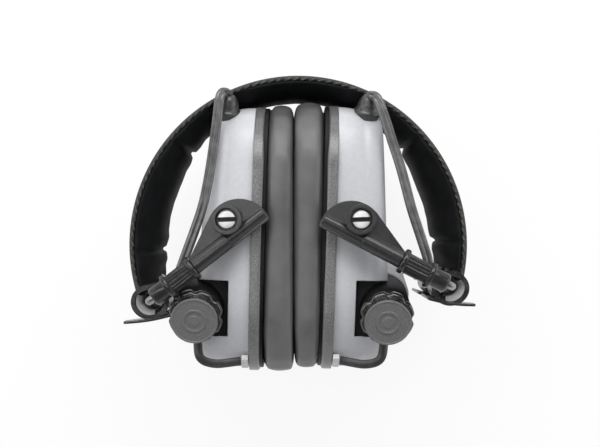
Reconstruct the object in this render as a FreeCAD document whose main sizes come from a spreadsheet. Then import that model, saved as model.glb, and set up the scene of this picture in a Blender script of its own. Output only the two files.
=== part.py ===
# Folding electronic earmuff, lying on its back: +X to the wearer's left cup, +Y to the crown of the
# band, +Z to the front. The origin is the middle of the flat ground that it lies on. Lengths are in mm.
import FreeCAD, Part
import math
import os

Vector = FreeCAD.Vector
Rotation = FreeCAD.Rotation
Placement = FreeCAD.Placement
X_AXIS, Y_AXIS, Z_AXIS = Vector(1, 0, 0), Vector(0, 1, 0), Vector(0, 0, 1)

SIZES = {
    # whole
    "soft_gap": 0.3,              # room between a soft piece and what it lies against
    "turn_gap": 0.3,              # room between two bodies that move past each other
    "running_clearance": 0.05,    # radial, on every shaft that turns or slides in a bore
    # ear cushion and rim plate, as ovals: half sizes and corner radius
    "cushion_half_height": 53.2,
    "cushion_half_depth": 39.5,
    "cushion_corner": 26.5,
    "cushion_thickness": 11.4,
    "cushion_edge_radius": 4.5,
    "ear_half_height": 30.0,
    "ear_half_depth": 18.0,
    "ear_corner": 16.0,
    "rim_half_height": 52.6,
    "rim_half_depth": 39.0,
    "rim_corner": 26.0,
    "rim_thickness": 4.1,
    "rim_edge_radius": 1.2,
    "baffle_thickness": 2.0,
    "foam_gap": 0.2,
    "ear_foam_thickness": 1.8,
    # cup shell
    "shell_half_height": 52.0,
    "shell_half_depth": 37.2,
    "shell_corner": 26.0,
    "shell_depth": 20.0,
    "shell_back_half_height": 46.4,
    "shell_back_half_depth": 32.5,
    "shell_back_corner": 23.0,
    "shell_tilt": 3.2,
    "shell_edge_radius": 4.2,
    "shell_swell": 0.9,
    "shell_wall": 2.2,
    "cup_lean": 1.6,
    # cup pivot
    "pivot_out": 24.8,
    "pivot_up": 7.3,
    "pivot_boss_radius": 5.0,
    "pivot_boss_length": 12.0,
    "pivot_shoulder_radius": 2.5,
    "pivot_thread_radius": 1.9,
    "pivot_thread_length": 8.0,
    "pivot_head_radius": 3.5,
    "pivot_head_height": 2.2,
    "pivot_slot_width": 1.2,
    "pivot_slot_depth": 0.9,
    # bracket
    "bracket_inset": 42.3,
    "bracket_thickness": 3.4,
    "bracket_fan_radius": 12.2,
    "bracket_fan_along": 42.6,
    "bracket_start_along": 21.6,
    "bracket_tube_end": 37.6,
    "bracket_ridge_end": 54.0,
    "bracket_tube_radius": 3.2,
    "bracket_ridge_radius": 2.6,
    "bracket_bore_end": 53.0,
    "screw_ring_radius": 5.6,
    "screw_ring_height": 3.4,
    "counterbore_radius": 4.1,
    "pivot_along": 41.8,
    "pivot_across": 6.3,
    # wire fork
    "wire_radius": 1.5,
    "wire_bend_radius": 2.0,
    "leg_out": 44.5,
    "leg_length": 52.0,
    "left_fold_angle": 37.7,
    "right_fold_angle": 27.6,
    # adjuster grip on each leg, measured along the leg from the cross-bar
    "barrel_start": 2.3,
    "outer_flange_start": 8.5,
    "flange_thickness": 2.0,
    "flange_radius": 4.6,
    "inner_flange_start": 19.5,
    "grip_radius": 3.3,
    "grip_rib_radius": 0.5,
    "grip_rib_count": 12,
    # headband
    "band_drop": 1.7,
    "band_width": 48.0,
    "band_end_width": 60.0,
    "band_edge_radius": 1.0,
    "cover_thickness": 3.3,
    "pad_thickness": 1.9,
    "pad_width": 41.0,
    "spring_thickness": 0.8,
    "spring_width": 30.0,
    "band_end_angle": 6.4,
    "loop_wall": 2.9,
    "loop_width": 60.0,
    "cable_gap": 8.4,
    "tail_length": 13.5,
    "tail_thickness": 1.3,
    "tail_slope": 8.0,
    "grommet_radius": 4.4,
    # battery housing, battery and cap
    "battery_out": 36.0,
    "battery_down": 28.6,
    "battery_lean": 15.0,
    "battery_radius": 5.25,
    "battery_length": 44.5,
    "contact_height": 2.0,
    "housing_wall": 2.7,
    "housing_room": 0.35,
    "housing_front": 36.6,
    "housing_patch_width": 11.8,
    "housing_patch_height": 22.0,
    "housing_patch_depth": 16.0,
    "cap_collar_radius": 10.3,
    "cap_collar_height": 4.0,
    "cap_face_radius": 8.7,
    "cap_face_height": 4.6,
    "cap_plug_length": 2.0,
    "cap_scallops": 8,
    "cap_scallop_radius": 2.2,
    "cap_scallop_depth": 0.9,
    # inside the cup
    "speaker_up": 8.0,
    "speaker_radius": 17.0,
    "speaker_frame_height": 3.6,
    "magnet_radius": 9.0,
    "magnet_height": 4.6,
    "sound_foam_half_height": 43.0,
    "sound_foam_half_depth": 29.0,
    "sound_foam_corner": 20.0,
    "sound_foam_thickness": 4.0,
    "board_thickness": 1.2,
    "board_height": 32.0,
    "board_depth": 46.0,
    "board_low": -8.0,
    "board_post_radius": 2.0,
    "microphone_up": 33.0,
    "microphone_radius": 3.0,
    "microphone_height": 3.0,
    "microphone_port_radius": 1.2,
    "microphone_cover_radius": 5.2,
    "microphone_cover_height": 1.2,
    # push buttons on the right cup's outer face
    "button_radius": 4.0,
    "button_pitch": 11.5,
    "button_low": -26.0,
    "button_room": 2.2,           # from the battery housing's closed end to the nearest button
    "button_height": 3.2,
    "button_travel": 0.6,
    # cable boot, cable, tether strap and its keeper
    "boot_out": 26.2,
    "boot_up": 46.7,
    "boot_front": 22.3,
    "boot_lean": 42.0,
    "boot_radius": 3.9,
    "boot_tip_radius": 2.0,
    "boot_length": 9.6,
    "boot_sunk": 3.2,
    "cable_radius": 1.45,
    "cable_rise": 2.4,
    "strap_radius": 1.1,
    "keeper_angle": 37.0,
    "keeper_width": 2.4,
    "keeper_height": 6.5,
    "keeper_depth": 2.0,
}

doc = FreeCAD.newDocument("earmuff")
sheet = doc.addObject("Spreadsheet::Sheet", "sizes")
for row, (alias, number) in enumerate(SIZES.items(), start=1):
    sheet.set(f"A{row}", alias)
    sheet.set(f"B{row}", str(number))
    sheet.setAlias(f"B{row}", alias)
doc.recompute()

NODES = {}


def size(alias):
    """A driving size, read from the sheet."""
    return float(sheet.get(alias))


# places that several pieces share, worked out once from the sheet
RIM_INNER = size("soft_gap") * 2 + size("cushion_thickness")
SHELL_BASE = RIM_INNER + size("rim_thickness")
SHELL_BACK = SHELL_BASE + size("shell_depth")
RING_FACE = size("bracket_inset") + size("bracket_thickness") + size("screw_ring_height")
FLANGE_FACE = size("leg_out") + size("flange_radius")
MID_HEIGHT = max(RING_FACE, FLANGE_FACE)
WIRE_BORE = size("wire_radius") + size("running_clearance")
PIVOT = Vector(size("pivot_out"), size("pivot_up"), 0)


def hinge_point(fold_angle, side):
    """Cross-bar axis of one fork, before the whole is centred; side is 1 on the right, -1 on the left."""
    angle = math.radians(fold_angle)
    along, across = size("pivot_along"), size("pivot_across")
    out = along * math.cos(angle) - across * math.sin(angle)
    down = along * math.sin(angle) + across * math.cos(angle)
    return Vector(side * (PIVOT.x + out), PIVOT.y - down, 0)


LEFT_HINGE = hinge_point(size("left_fold_angle"), -1)
RIGHT_HINGE = hinge_point(size("right_fold_angle"), 1)


def band_centre():
    """Centre of the band's arc: as far from one cross-bar as from the other."""
    up = -size("band_drop")
    left, right = LEFT_HINGE, RIGHT_HINGE
    spread = right.x ** 2 - left.x ** 2 + (right.y - up) ** 2 - (left.y - up) ** 2
    return Vector(spread / (2 * (right.x - left.x)), up, 0)


BAND_CENTRE = band_centre()
EYE_REACH = (RIGHT_HINGE - BAND_CENTRE).Length
SPRING_INNER = EYE_REACH + WIRE_BORE
SPRING_OUTER = SPRING_INNER + size("spring_thickness")
COVER_INNER = SPRING_OUTER + size("soft_gap")
COVER_OUTER = COVER_INNER + size("cover_thickness")
PAD_OUTER = SPRING_INNER - size("soft_gap")
CROWN = BAND_CENTRE.y + COVER_OUTER
CUP_HEIGHT = (size("cushion_half_height") - CROWN) / 2
ORIGIN = Vector(-BAND_CENTRE.x, CUP_HEIGHT, MID_HEIGHT)


# ---- making and placing objects ----------------------------------------------------------------

def unit_turn(start, end):
    """Rotation that brings one direction onto another."""
    return Rotation(start, end)


def make(kind, name, place=None, **expressions):
    """One document object, its properties bound to the sheet."""
    item = doc.addObject(kind, name)
    for prop, expression in expressions.items():
        item.setExpression(prop, expression)
    if place is not None:
        item.Placement = place
    return item


def rod(name, radius, length, base, direction=Z_AXIS):
    """Cylinder from a base point; radius and length are expressions on the sheet."""
    place = Placement(base, unit_turn(Z_AXIS, direction))
    return make("Part::Cylinder", name, place, Radius=radius, Height=length)


def cone(name, low_radius, high_radius, length, base, direction=Z_AXIS):
    place = Placement(base, unit_turn(Z_AXIS, direction))
    return make("Part::Cone", name, place, Radius1=low_radius, Radius2=high_radius, Height=length)


def block(name, low, length, width, height):
    """Box from its low corner; its three sides are expressions on the sheet."""
    return make("Part::Box", name, Placement(low, Rotation()), Length=length, Width=width, Height=height)


def cut(name, base, tool):
    item = make("Part::Cut", name)
    item.Base, item.Tool = base, tool
    return item


def fuse(name, *shapes):
    item = make("Part::MultiFuse", name)
    item.Shapes = list(shapes)
    return item


def group(name, *shapes):
    """Separate solids that share one node."""
    item = make("Part::Compound", name)
    item.Links = list(shapes)
    return item


def node(item, label, offset=ORIGIN, turn=None):
    """Names a finished sub-part and moves it from its own frame to its place."""
    item.Label = label
    move = Placement(offset, turn if turn is not None else Rotation())
    item.Placement = move.multiply(item.Placement)
    NODES[label] = item
    return item


def cup_turn(side, times=1):
    """The cups' small lean, each about its own pivot."""
    pivot = ORIGIN + Vector(side * PIVOT.x, PIVOT.y, 0)
    return Placement(Vector(), Rotation(Z_AXIS, -times * size("cup_lean")), pivot)


def cup_place(side):
    """Place of a cup's frame, whose origin is the middle between the two cushions."""
    return cup_turn(side).multiply(Placement(ORIGIN, Rotation()))


def right_cup_node(item, label):
    place = cup_place(1)
    node(item, label, place.Base, place.Rotation)


def mirrored(item, label):
    """Mirror image of a placed right cup's piece, turned on so that the left cup leans the same way."""
    twin = make("Part::Mirroring", f"{item.Name}_twin", cup_turn(-1, 2))
    twin.Source, twin.Normal, twin.Base = item, X_AXIS, ORIGIN
    twin.Label = label
    NODES[label] = twin


def cup_pair(item, label):
    """The right cup's piece, and its mirror image in the left cup."""
    right_cup_node(item, f"right_{label}")
    mirrored(item, f"left_{label}")


# ---- ovals: rounded outlines across the cups' axis ----------------------------------------------

def oval_outline(half_height, half_depth, corner):
    """Lines and arcs of an oval with straight sides, in a sketch's own plane."""
    arcs = []
    straight_up, straight_out = half_height - corner, half_depth - corner
    corners = [(1, 1, 0), (-1, 1, 90), (-1, -1, 180), (1, -1, 270)]
    for up, out, start in corners:
        centre = Vector(up * straight_up, out * straight_out, 0)
        circle = Part.Circle(centre, Z_AXIS, corner)
        arcs.append(Part.ArcOfCircle(circle, math.radians(start), math.radians(start + 90)))
    lines = []
    for first, second in zip(arcs, arcs[1:] + arcs[:1]):
        lines.append(Part.LineSegment(first.EndPoint, second.StartPoint))
    return arcs + lines


def cross_plane(body):
    """The body's own plane across the cups' axis."""
    return next(plane for plane in body.Origin.OriginFeatures if plane.Role == "YZ_Plane")


def oval_sketch(body, name, halves, out, tilt=0.0):
    """Oval sketch at a distance out from the middle plane, leaning by tilt about the depth axis."""
    sketch = body.newObject("Sketcher::SketchObject", name)
    sketch.AttachmentSupport = [(cross_plane(body), "")]
    sketch.MapMode = "FlatFace"
    sketch.AttachmentOffset = Placement(Vector(0, 0, out), Rotation(Y_AXIS, tilt))
    sketch.addGeometry(oval_outline(*halves), False)
    return sketch


def oval_slab(name, halves, out, thickness):
    """Straight-sided oval slab; its thickness is an expression on the sheet."""
    body = doc.addObject("PartDesign::Body", name)
    sketch = oval_sketch(body, f"{name}_outline", halves, out)
    pad = body.newObject("PartDesign::Pad", f"{name}_pad")
    pad.Profile = sketch
    pad.setExpression("Length", thickness)
    return body


def halves_of(stem, less=0.0):
    """Half height, half depth and corner of an oval, each smaller by less."""
    parts = (f"{stem}_half_height", f"{stem}_half_depth", f"{stem}_corner")
    return tuple(size(part) - less for part in parts)


def rounded(body, radius, faces):
    """Rounds every edge of the chosen faces of a body's last feature."""
    doc.recompute()
    feature = body.Tip
    names = [f"Face{i + 1}" for i, face in enumerate(feature.Shape.Faces) if faces(face)]
    fillet = body.newObject("PartDesign::Fillet", f"{body.Name}_round")
    fillet.Base = (feature, names)
    fillet.setExpression("Radius", radius)
    doc.recompute()
    return body


def faces_across(place):
    """Picks the flat face that stands at a distance out from the middle plane."""
    return lambda face: abs(face.CenterOfMass.x - place) < 1.0 and face.BoundBox.XLength < 0.01


# ---- cup: cushion, rim, shell -------------------------------------------------------------------

def make_cushion():
    body = oval_slab("cushion_body", halves_of("cushion"), size("soft_gap"), "sizes.cushion_thickness")
    far = size("soft_gap") + size("cushion_thickness")
    rounded(body, "sizes.cushion_edge_radius",
            lambda face: faces_across(size("soft_gap"))(face) or faces_across(far)(face))
    hole = oval_slab("cushion_hole", halves_of("ear"), 0, "sizes.cushion_thickness + 2")
    cup_pair(cut("cushion", body, hole), "ear_cushion")


def make_rim():
    """Rim plate: a thick edge, and a baffle that carries the speaker."""
    slab = oval_slab("rim_slab", halves_of("rim"), RIM_INNER, "sizes.rim_thickness")
    rounded(slab, "sizes.rim_edge_radius", faces_across(RIM_INNER))
    pocket_depth = "sizes.rim_thickness - sizes.baffle_thickness + 1"
    pocket = oval_slab("rim_pocket", halves_of("ear"), RIM_INNER - 1, pocket_depth)
    seat = Vector(RIM_INNER - 1, size("speaker_up"), 0)
    hole = rod("rim_hole", "sizes.speaker_radius + sizes.running_clearance", "sizes.rim_thickness + 2",
               seat, X_AXIS)
    cup_pair(cut("rim", slab, fuse("rim_tools", pocket, hole)), "rim_plate")


def shell_loft(name, less, base_out, back_out):
    """Closed loft from the cup's open edge to its leaning back; less is the wall taken off."""
    body = doc.addObject("PartDesign::Body", name)
    base, back = halves_of("shell", less), halves_of("shell_back", less)
    edge, swell, tilt = size("shell_edge_radius"), size("shell_swell"), size("shell_tilt")
    middle = tuple((low + high) / 2 + swell for low, high in zip(back, base))
    face = tuple(half - edge for half in back)
    sketches = [
        oval_sketch(body, f"{name}_base", base, base_out),
        oval_sketch(body, f"{name}_middle", middle, (base_out + back_out) / 2, tilt / 2),
        oval_sketch(body, f"{name}_shoulder", back, back_out - edge, tilt),
        oval_sketch(body, f"{name}_face", face, back_out, tilt),
    ]
    loft = body.newObject("PartDesign::AdditiveLoft", f"{name}_loft")
    loft.Profile = sketches[0]
    loft.Sections = sketches[1:]
    loft.Ruled = True
    return body


def on_shell_back(up, across, depth=0.0):
    """Point on the shell's leaning back face, or depth inside it, and the face's outward normal."""
    tilt = math.radians(size("shell_tilt"))
    normal = Vector(math.cos(tilt), math.sin(tilt), 0)
    rise = Vector(-math.sin(tilt), math.cos(tilt), 0)
    point = Vector(SHELL_BACK, 0, 0) + rise * (up / math.cos(tilt)) + Z_AXIS * across
    return point - normal * depth, normal


def battery_point(depth):
    """Point on the battery's axis before the compartment is leant."""
    return Vector(size("battery_out"), -size("battery_down"), depth)


def housing_envelope(name, room):
    """Battery housing's outer shape, or the hole for it in the shell, larger by room."""
    radius = f"sizes.battery_radius + sizes.housing_room + sizes.housing_wall + {room}"
    length = (f"sizes.battery_length + sizes.contact_height + sizes.housing_wall"
              f" + sizes.cap_plug_length + 2 * sizes.housing_room + {2 * room}")
    tube = rod(f"{name}_tube", radius, length, battery_point(housing_back() - room))
    low = Vector(size("battery_out") - size("housing_patch_width") - room,
                 -size("battery_down") - size("housing_patch_height") / 2 + 3.6 - room,
                 size("housing_front") - size("housing_patch_depth") - room)
    patch = block(f"{name}_patch", low, f"sizes.housing_patch_width + {2 * room}",
                  f"sizes.housing_patch_height + {2 * room}",
                  f"sizes.housing_patch_depth + {2 * room}")
    return leaning(fuse(name, tube, patch))


def leaning(item):
    """Turns a piece of the battery compartment about the middle of the housing's mouth."""
    turn = Rotation(X_AXIS, size("battery_lean"))
    item.Placement = Placement(Vector(), turn, battery_point(size("housing_front")))
    return item


def housing_back():
    """Depth of the battery housing's closed end."""
    inner = size("battery_length") + size("contact_height") + 2 * size("housing_room")
    return size("housing_front") - inner - size("cap_plug_length") - size("housing_wall")


def pivot_boss(face):
    """Post on the shell for a pivot screw, from inside the wall to just short of the bracket."""
    tip = size("bracket_inset") - size("turn_gap")
    base = Vector(PIVOT.x, PIVOT.y, face * (tip - size("pivot_boss_length")))
    return rod(f"pivot_boss_{face + 1}", "sizes.pivot_boss_radius", "sizes.pivot_boss_length", base,
               Z_AXIS * face)


def pivot_hole(face):
    tip = size("bracket_inset") - size("turn_gap")
    base = Vector(PIVOT.x, PIVOT.y, face * (tip + 1))
    return rod(f"pivot_hole_{face + 1}", "sizes.pivot_thread_radius + sizes.running_clearance",
               "sizes.pivot_thread_length + 2", base, Z_AXIS * -face)


def board_back():
    """Distance of the circuit board's outer face from the middle plane."""
    magnet_end = RIM_INNER + size("rim_thickness") + size("speaker_frame_height") + size("magnet_height")
    return magnet_end - size("baffle_thickness") + size("board_thickness") + 1.0


def board_posts():
    """Four posts from the shell's back wall to the circuit board."""
    posts = []
    for up in (size("board_low") + 4, size("board_low") + size("board_height") - 4):
        for across in (-size("board_depth") / 2 + 5, size("board_depth") / 2 - 5):
            wall, _normal = on_shell_back(up, across, size("shell_wall") / 2)
            base = Vector(board_back(), up, across)
            length = wall.x - base.x
            post = rod(f"board_post_{len(posts)}", "sizes.board_post_radius", str(length), base, X_AXIS)
            posts.append(post)
    return posts


def make_shell():
    outer = shell_loft("shell_outer", 0, SHELL_BASE, SHELL_BACK)
    inner = shell_loft("shell_inner", size("shell_wall"), SHELL_BASE - 1, SHELL_BACK - size("shell_wall"))
    hollow = cut("shell_hollow", outer, inner)
    solid = fuse("shell_solid", hollow, pivot_boss(1), pivot_boss(-1), *board_posts())
    port, normal = on_shell_back(size("microphone_up"), 0, 2 * size("shell_wall"))
    port_hole = rod("microphone_port", "sizes.microphone_port_radius", "4 * sizes.shell_wall", port, normal)
    tools = fuse("shell_tools", housing_envelope("housing_hole", size("running_clearance")),
                 pivot_hole(1), pivot_hole(-1), port_hole, boot_cone("boot_hole", size("running_clearance")))
    right_tools = fuse("right_shell_tools", tools, *button_holes())
    plain = cut("plain_shell", solid, tools)
    right_cup_node(cut("right_shell", solid, right_tools), "right_cup_shell")
    right_cup_node(plain, "plain_shell")
    NODES.pop("plain_shell")
    mirrored(plain, "left_cup_shell")


# ---- inside the cup ------------------------------------------------------------------------------

def make_ear_foam():
    out = RIM_INNER + size("foam_gap")
    slab = oval_slab("ear_foam", halves_of("ear", size("soft_gap")), out, "sizes.ear_foam_thickness")
    cup_pair(slab, "ear_foam")


def speaker_seat():
    """Where the speaker's frame starts: the ear side of the baffle."""
    return RIM_INNER + size("rim_thickness") - size("baffle_thickness")


def make_speaker():
    seat = Vector(speaker_seat(), size("speaker_up"), 0)
    frame = rod("speaker_frame", "sizes.speaker_radius", "sizes.speaker_frame_height", seat, X_AXIS)
    top = seat + X_AXIS * size("speaker_frame_height")
    magnet = rod("speaker_magnet", "sizes.magnet_radius", "sizes.magnet_height", top, X_AXIS)
    cup_pair(fuse("speaker", frame, magnet), "speaker")


def make_sound_foam():
    out = SHELL_BASE
    slab = oval_slab("sound_foam_slab", halves_of("sound_foam"), out, "sizes.sound_foam_thickness")
    hole = rod("sound_foam_hole", "sizes.speaker_radius + sizes.soft_gap", "sizes.sound_foam_thickness + 2",
               Vector(out - 1, size("speaker_up"), 0), X_AXIS)
    room = size("soft_gap")
    clear = housing_envelope("sound_foam_clear", room)
    cup_pair(cut("sound_foam", slab, fuse("sound_foam_tools", hole, clear)), "sound_foam")


def make_board():
    low = Vector(board_back() - size("board_thickness"), size("board_low"), -size("board_depth") / 2)
    board = block("board", low, "sizes.board_thickness", "sizes.board_height", "sizes.board_depth")
    cup_pair(board, "circuit_board")


def make_microphone():
    inside, normal = on_shell_back(size("microphone_up"), 0, size("shell_wall") + size("microphone_height"))
    body = rod("microphone", "sizes.microphone_radius", "sizes.microphone_height", inside, normal)
    cup_pair(body, "microphone")
    outside, normal = on_shell_back(size("microphone_up"), 0)
    cover = rod("microphone_cover", "sizes.microphone_cover_radius", "sizes.microphone_cover_height",
                outside, normal)
    cup_pair(cover, "microphone_cover")


# ---- battery -------------------------------------------------------------------------------------

def make_battery():
    floor = housing_back() + size("housing_wall")
    bore = rod("housing_bore", "sizes.battery_radius + sizes.housing_room", "60", battery_point(floor))
    hole = leaning(group("leaning_bore", bore))
    cup_pair(cut("housing", housing_envelope("housing_outer", 0), hole), "battery_housing")
    coil = cone("contact_coil", "sizes.battery_radius - 0.6", "sizes.battery_radius / 2",
                "sizes.contact_height", battery_point(floor))
    eye = rod("contact_hole", "sizes.battery_radius / 3", "4 * sizes.contact_height",
              battery_point(floor - size("contact_height")))
    cup_pair(leaning(cut("contact", coil, eye)), "battery_contact")
    start = floor + size("contact_height")
    cell = rod("cell", "sizes.battery_radius", "sizes.battery_length - 1", battery_point(start))
    nub = rod("cell_nub", "sizes.battery_radius / 3", "1", battery_point(start + size("battery_length") - 1))
    cup_pair(leaning(fuse("battery", cell, nub)), "battery")


def make_cap():
    """Battery cap: plug, scalloped collar and a tapered face, made about its own axis."""
    body = doc.addObject("PartDesign::Body", "cap_body")
    plane = next(item for item in body.Origin.OriginFeatures if item.Role == "XZ_Plane")
    sketch = body.newObject("Sketcher::SketchObject", "cap_profile")
    sketch.AttachmentSupport = [(plane, "")]
    sketch.MapMode = "FlatFace"
    low = size("turn_gap")
    collar_top = low + size("cap_collar_height")
    face_top = collar_top + size("cap_face_height")
    plug = size("battery_radius")
    corners = [(0, low - size("cap_plug_length")), (plug, low - size("cap_plug_length")), (plug, low),
               (size("cap_collar_radius"), low), (size("cap_collar_radius"), collar_top - 0.8),
               (size("cap_face_radius") + 0.7, collar_top), (size("cap_face_radius"), face_top - 0.6),
               (size("cap_face_radius") - 0.6, face_top), (0, face_top)]
    points = [Vector(out, up, 0) for out, up in corners]
    lines = [Part.LineSegment(one, two) for one, two in zip(points, points[1:] + points[:1])]
    sketch.addGeometry(lines, False)
    turned = body.newObject("PartDesign::Revolution", "cap_turned")
    turned.Profile = sketch
    turned.ReferenceAxis = (sketch, ["V_Axis"])
    turned.Angle = 360
    add_scallops(body, low)
    body.Placement = Placement(battery_point(size("housing_front")),
                               Rotation(X_AXIS, size("battery_lean")))
    cup_pair(body, "battery_cap")


def add_scallops(body, low):
    """Finger hollows round the collar: one pocket, repeated about the cap's axis."""
    plane = next(item for item in body.Origin.OriginFeatures if item.Role == "XY_Plane")
    sketch = body.newObject("Sketcher::SketchObject", "scallop_outline")
    sketch.AttachmentSupport = [(plane, "")]
    sketch.MapMode = "FlatFace"
    sketch.AttachmentOffset = Placement(Vector(0, 0, low + size("cap_collar_height") + 1), Rotation())
    reach = size("cap_collar_radius") + size("cap_scallop_radius") - size("cap_scallop_depth")
    sketch.addGeometry(Part.Circle(Vector(reach, 0, 0), Z_AXIS, size("cap_scallop_radius")), False)
    doc.recompute()
    pocket = body.newObject("PartDesign::Pocket", "scallop")
    pocket.Profile = sketch
    pocket.setExpression("Length", "sizes.cap_collar_height + 2")
    doc.recompute()
    pattern = body.newObject("PartDesign::PolarPattern", "scallops")
    pattern.Originals = [pocket]
    pattern.Axis = (sketch, ["N_Axis"])
    pattern.Angle = 360
    pattern.setExpression("Occurrences", "sizes.cap_scallops")
    body.Tip = pattern


# ---- push buttons --------------------------------------------------------------------------------

BUTTON_NAMES = ["volume_down_button", "power_button", "volume_up_button"]


def button_across():
    """Depth of the row of buttons, behind the closed end of the leaning battery housing."""
    lean = math.radians(size("battery_lean"))
    length = size("housing_front") - housing_back()
    radius = size("battery_radius") + size("housing_room") + size("housing_wall")
    end = size("housing_front") - length * math.cos(lean) - radius * math.sin(lean)
    return end - size("button_room") - size("turn_gap") - size("button_radius")


def button_centre(index, depth):
    up = size("button_low") + index * size("button_pitch")
    return on_shell_back(up, button_across(), depth)


def button_holes():
    holes = []
    for index in range(len(BUTTON_NAMES)):
        base, normal = button_centre(index, 2 * size("shell_wall"))
        holes.append(rod(f"button_hole_{index}", "sizes.button_radius + sizes.turn_gap",
                         "4 * sizes.shell_wall", base, normal))
    return holes


def make_buttons():
    for index, name in enumerate(BUTTON_NAMES):
        depth = size("button_height") - size("button_travel") - size("turn_gap") - 0.5
        base, normal = button_centre(index, depth)
        stem = rod(name, "sizes.button_radius", "sizes.button_height", base, normal)
        right_cup_node(stem, f"right_{name}")


# ---- pivot screws --------------------------------------------------------------------------------

def pivot_screw(face):
    """Slotted shoulder screw: thread in the boss, shoulder in the bracket, head in its counterbore."""
    tip = size("bracket_inset") - size("turn_gap")
    under_head = size("bracket_inset") + size("bracket_thickness") + size("turn_gap")
    out = Z_AXIS * face
    thread = rod(f"screw_thread_{face + 1}", "sizes.pivot_thread_radius", "sizes.pivot_thread_length",
                 Vector(PIVOT.x, PIVOT.y, face * (tip - size("pivot_thread_length"))), out)
    shoulder = rod(f"screw_shoulder_{face + 1}", "sizes.pivot_shoulder_radius",
                   "sizes.bracket_thickness + 2 * sizes.turn_gap", Vector(PIVOT.x, PIVOT.y, face * tip), out)
    head = rod(f"screw_head_{face + 1}", "sizes.pivot_head_radius", "sizes.pivot_head_height",
               Vector(PIVOT.x, PIVOT.y, face * under_head), out)
    top = face * (under_head + size("pivot_head_height") - size("pivot_slot_depth") / 2)
    slot = block(f"screw_slot_{face + 1}",
                 Vector(PIVOT.x - 10, PIVOT.y - size("pivot_slot_width") / 2,
                        top - size("pivot_slot_depth") / 2),
                 "20", "sizes.pivot_slot_width", "sizes.pivot_slot_depth + 0")
    return cut(f"pivot_screw_{face + 1}", fuse(f"screw_{face + 1}", thread, shoulder, head), slot)


def make_screws():
    cup_pair(group("pivot_screws", pivot_screw(1), pivot_screw(-1)), "pivot_screws")


# ---- fork, adjusters and brackets, in the leg's own frame: X along the legs, origin on the cross-bar

def fork_place(side):
    """Place of a fork's frame: its X axis runs from the cross-bar to the cup."""
    if side < 0:
        return Placement(ORIGIN + LEFT_HINGE, Rotation(Z_AXIS, size("left_fold_angle")))
    lean = math.radians((180 - size("right_fold_angle")) / 2)
    return Placement(ORIGIN + RIGHT_HINGE, Rotation(Vector(math.cos(lean), math.sin(lean), 0), 180))


def fork_node(item, label, side):
    place = fork_place(side)
    node(item, label, place.Base, place.Rotation)


def make_fork(side, name):
    bend, out = size("wire_bend_radius"), size("leg_out")
    pieces = [rod(f"{name}_bar", "sizes.wire_radius", "2 * (sizes.leg_out - sizes.wire_bend_radius)",
                  Vector(0, 0, bend - out))]
    for face in (1, -1):
        start = Vector(bend, 0, face * out)
        pieces.append(rod(f"{name}_leg_{face + 1}", "sizes.wire_radius",
                          "sizes.leg_length - sizes.wire_bend_radius", start, X_AXIS))
        ring = make("Part::Torus", f"{name}_bend_{face + 1}", None, Radius1="sizes.wire_bend_radius",
                    Radius2="sizes.wire_radius")
        ring.Angle3 = 90
        turn = Rotation(X_AXIS, 90) if face > 0 else Rotation(X_AXIS, -90)
        centre = Vector(bend, 0, face * (out - bend))
        ring.Placement = Placement(centre, turn.multiply(Rotation(Z_AXIS, 90)))
        pieces.append(ring)
    fork_node(fuse(f"{name}_wire", *pieces), name, side)


def make_adjuster(side, face, name):
    """Adjuster grip: a barrel, two flanges and a ribbed grip turned about the leg, then bored."""
    axis = Vector(0, 0, face * size("leg_out"))
    barrel = rod(f"{name}_barrel", "sizes.bracket_tube_radius",
                 "sizes.outer_flange_start - sizes.barrel_start", axis + X_AXIS * size("barrel_start"), X_AXIS)
    grip_start = size("outer_flange_start") + size("flange_thickness")
    grip = rod(f"{name}_grip", "sizes.grip_radius",
               "sizes.inner_flange_start - sizes.outer_flange_start - sizes.flange_thickness",
               axis + X_AXIS * grip_start, X_AXIS)
    flanges = [rod(f"{name}_flange_{place}", "sizes.flange_radius", "sizes.flange_thickness",
                   axis + X_AXIS * size(f"{place}_flange_start"), X_AXIS) for place in ("outer", "inner")]
    ribs = []
    for index in range(int(size("grip_rib_count"))):
        angle = 2 * math.pi * index / size("grip_rib_count")
        reach = size("grip_radius")
        base = axis + Vector(grip_start, reach * math.cos(angle), reach * math.sin(angle))
        ribs.append(rod(f"{name}_rib_{index}", "sizes.grip_rib_radius",
                        "sizes.inner_flange_start - sizes.outer_flange_start - sizes.flange_thickness",
                        base, X_AXIS))
    bore = rod(f"{name}_bore", "sizes.wire_radius + sizes.running_clearance", "sizes.leg_length",
               axis - X_AXIS, X_AXIS)
    solid = fuse(f"{name}_solid", barrel, grip, *flanges, *ribs)
    fork_node(cut(f"{name}_cut", solid, bore), name, side)


def bracket_outline():
    """Fan round the pivot with a straight fairing towards the grip, below it the tube's edge."""
    fan, centre = size("bracket_fan_radius"), size("bracket_fan_along")
    low = -size("bracket_tube_radius")
    start = Vector(size("bracket_start_along"), low, 0)
    end = Vector(centre + math.sqrt(fan ** 2 - low ** 2), low, 0)
    corner = Vector(size("bracket_start_along"), -low, 0)
    reach = math.hypot(centre - corner.x, corner.y)
    tangent = math.atan2(corner.y, corner.x - centre) - math.acos(fan / reach)
    arc = Part.ArcOfCircle(Part.Circle(Vector(centre, 0, 0), Z_AXIS, fan),
                           math.atan2(low, end.x - centre), tangent)
    return [Part.LineSegment(start, end), arc, Part.LineSegment(arc.EndPoint, corner),
            Part.LineSegment(corner, start)]


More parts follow.
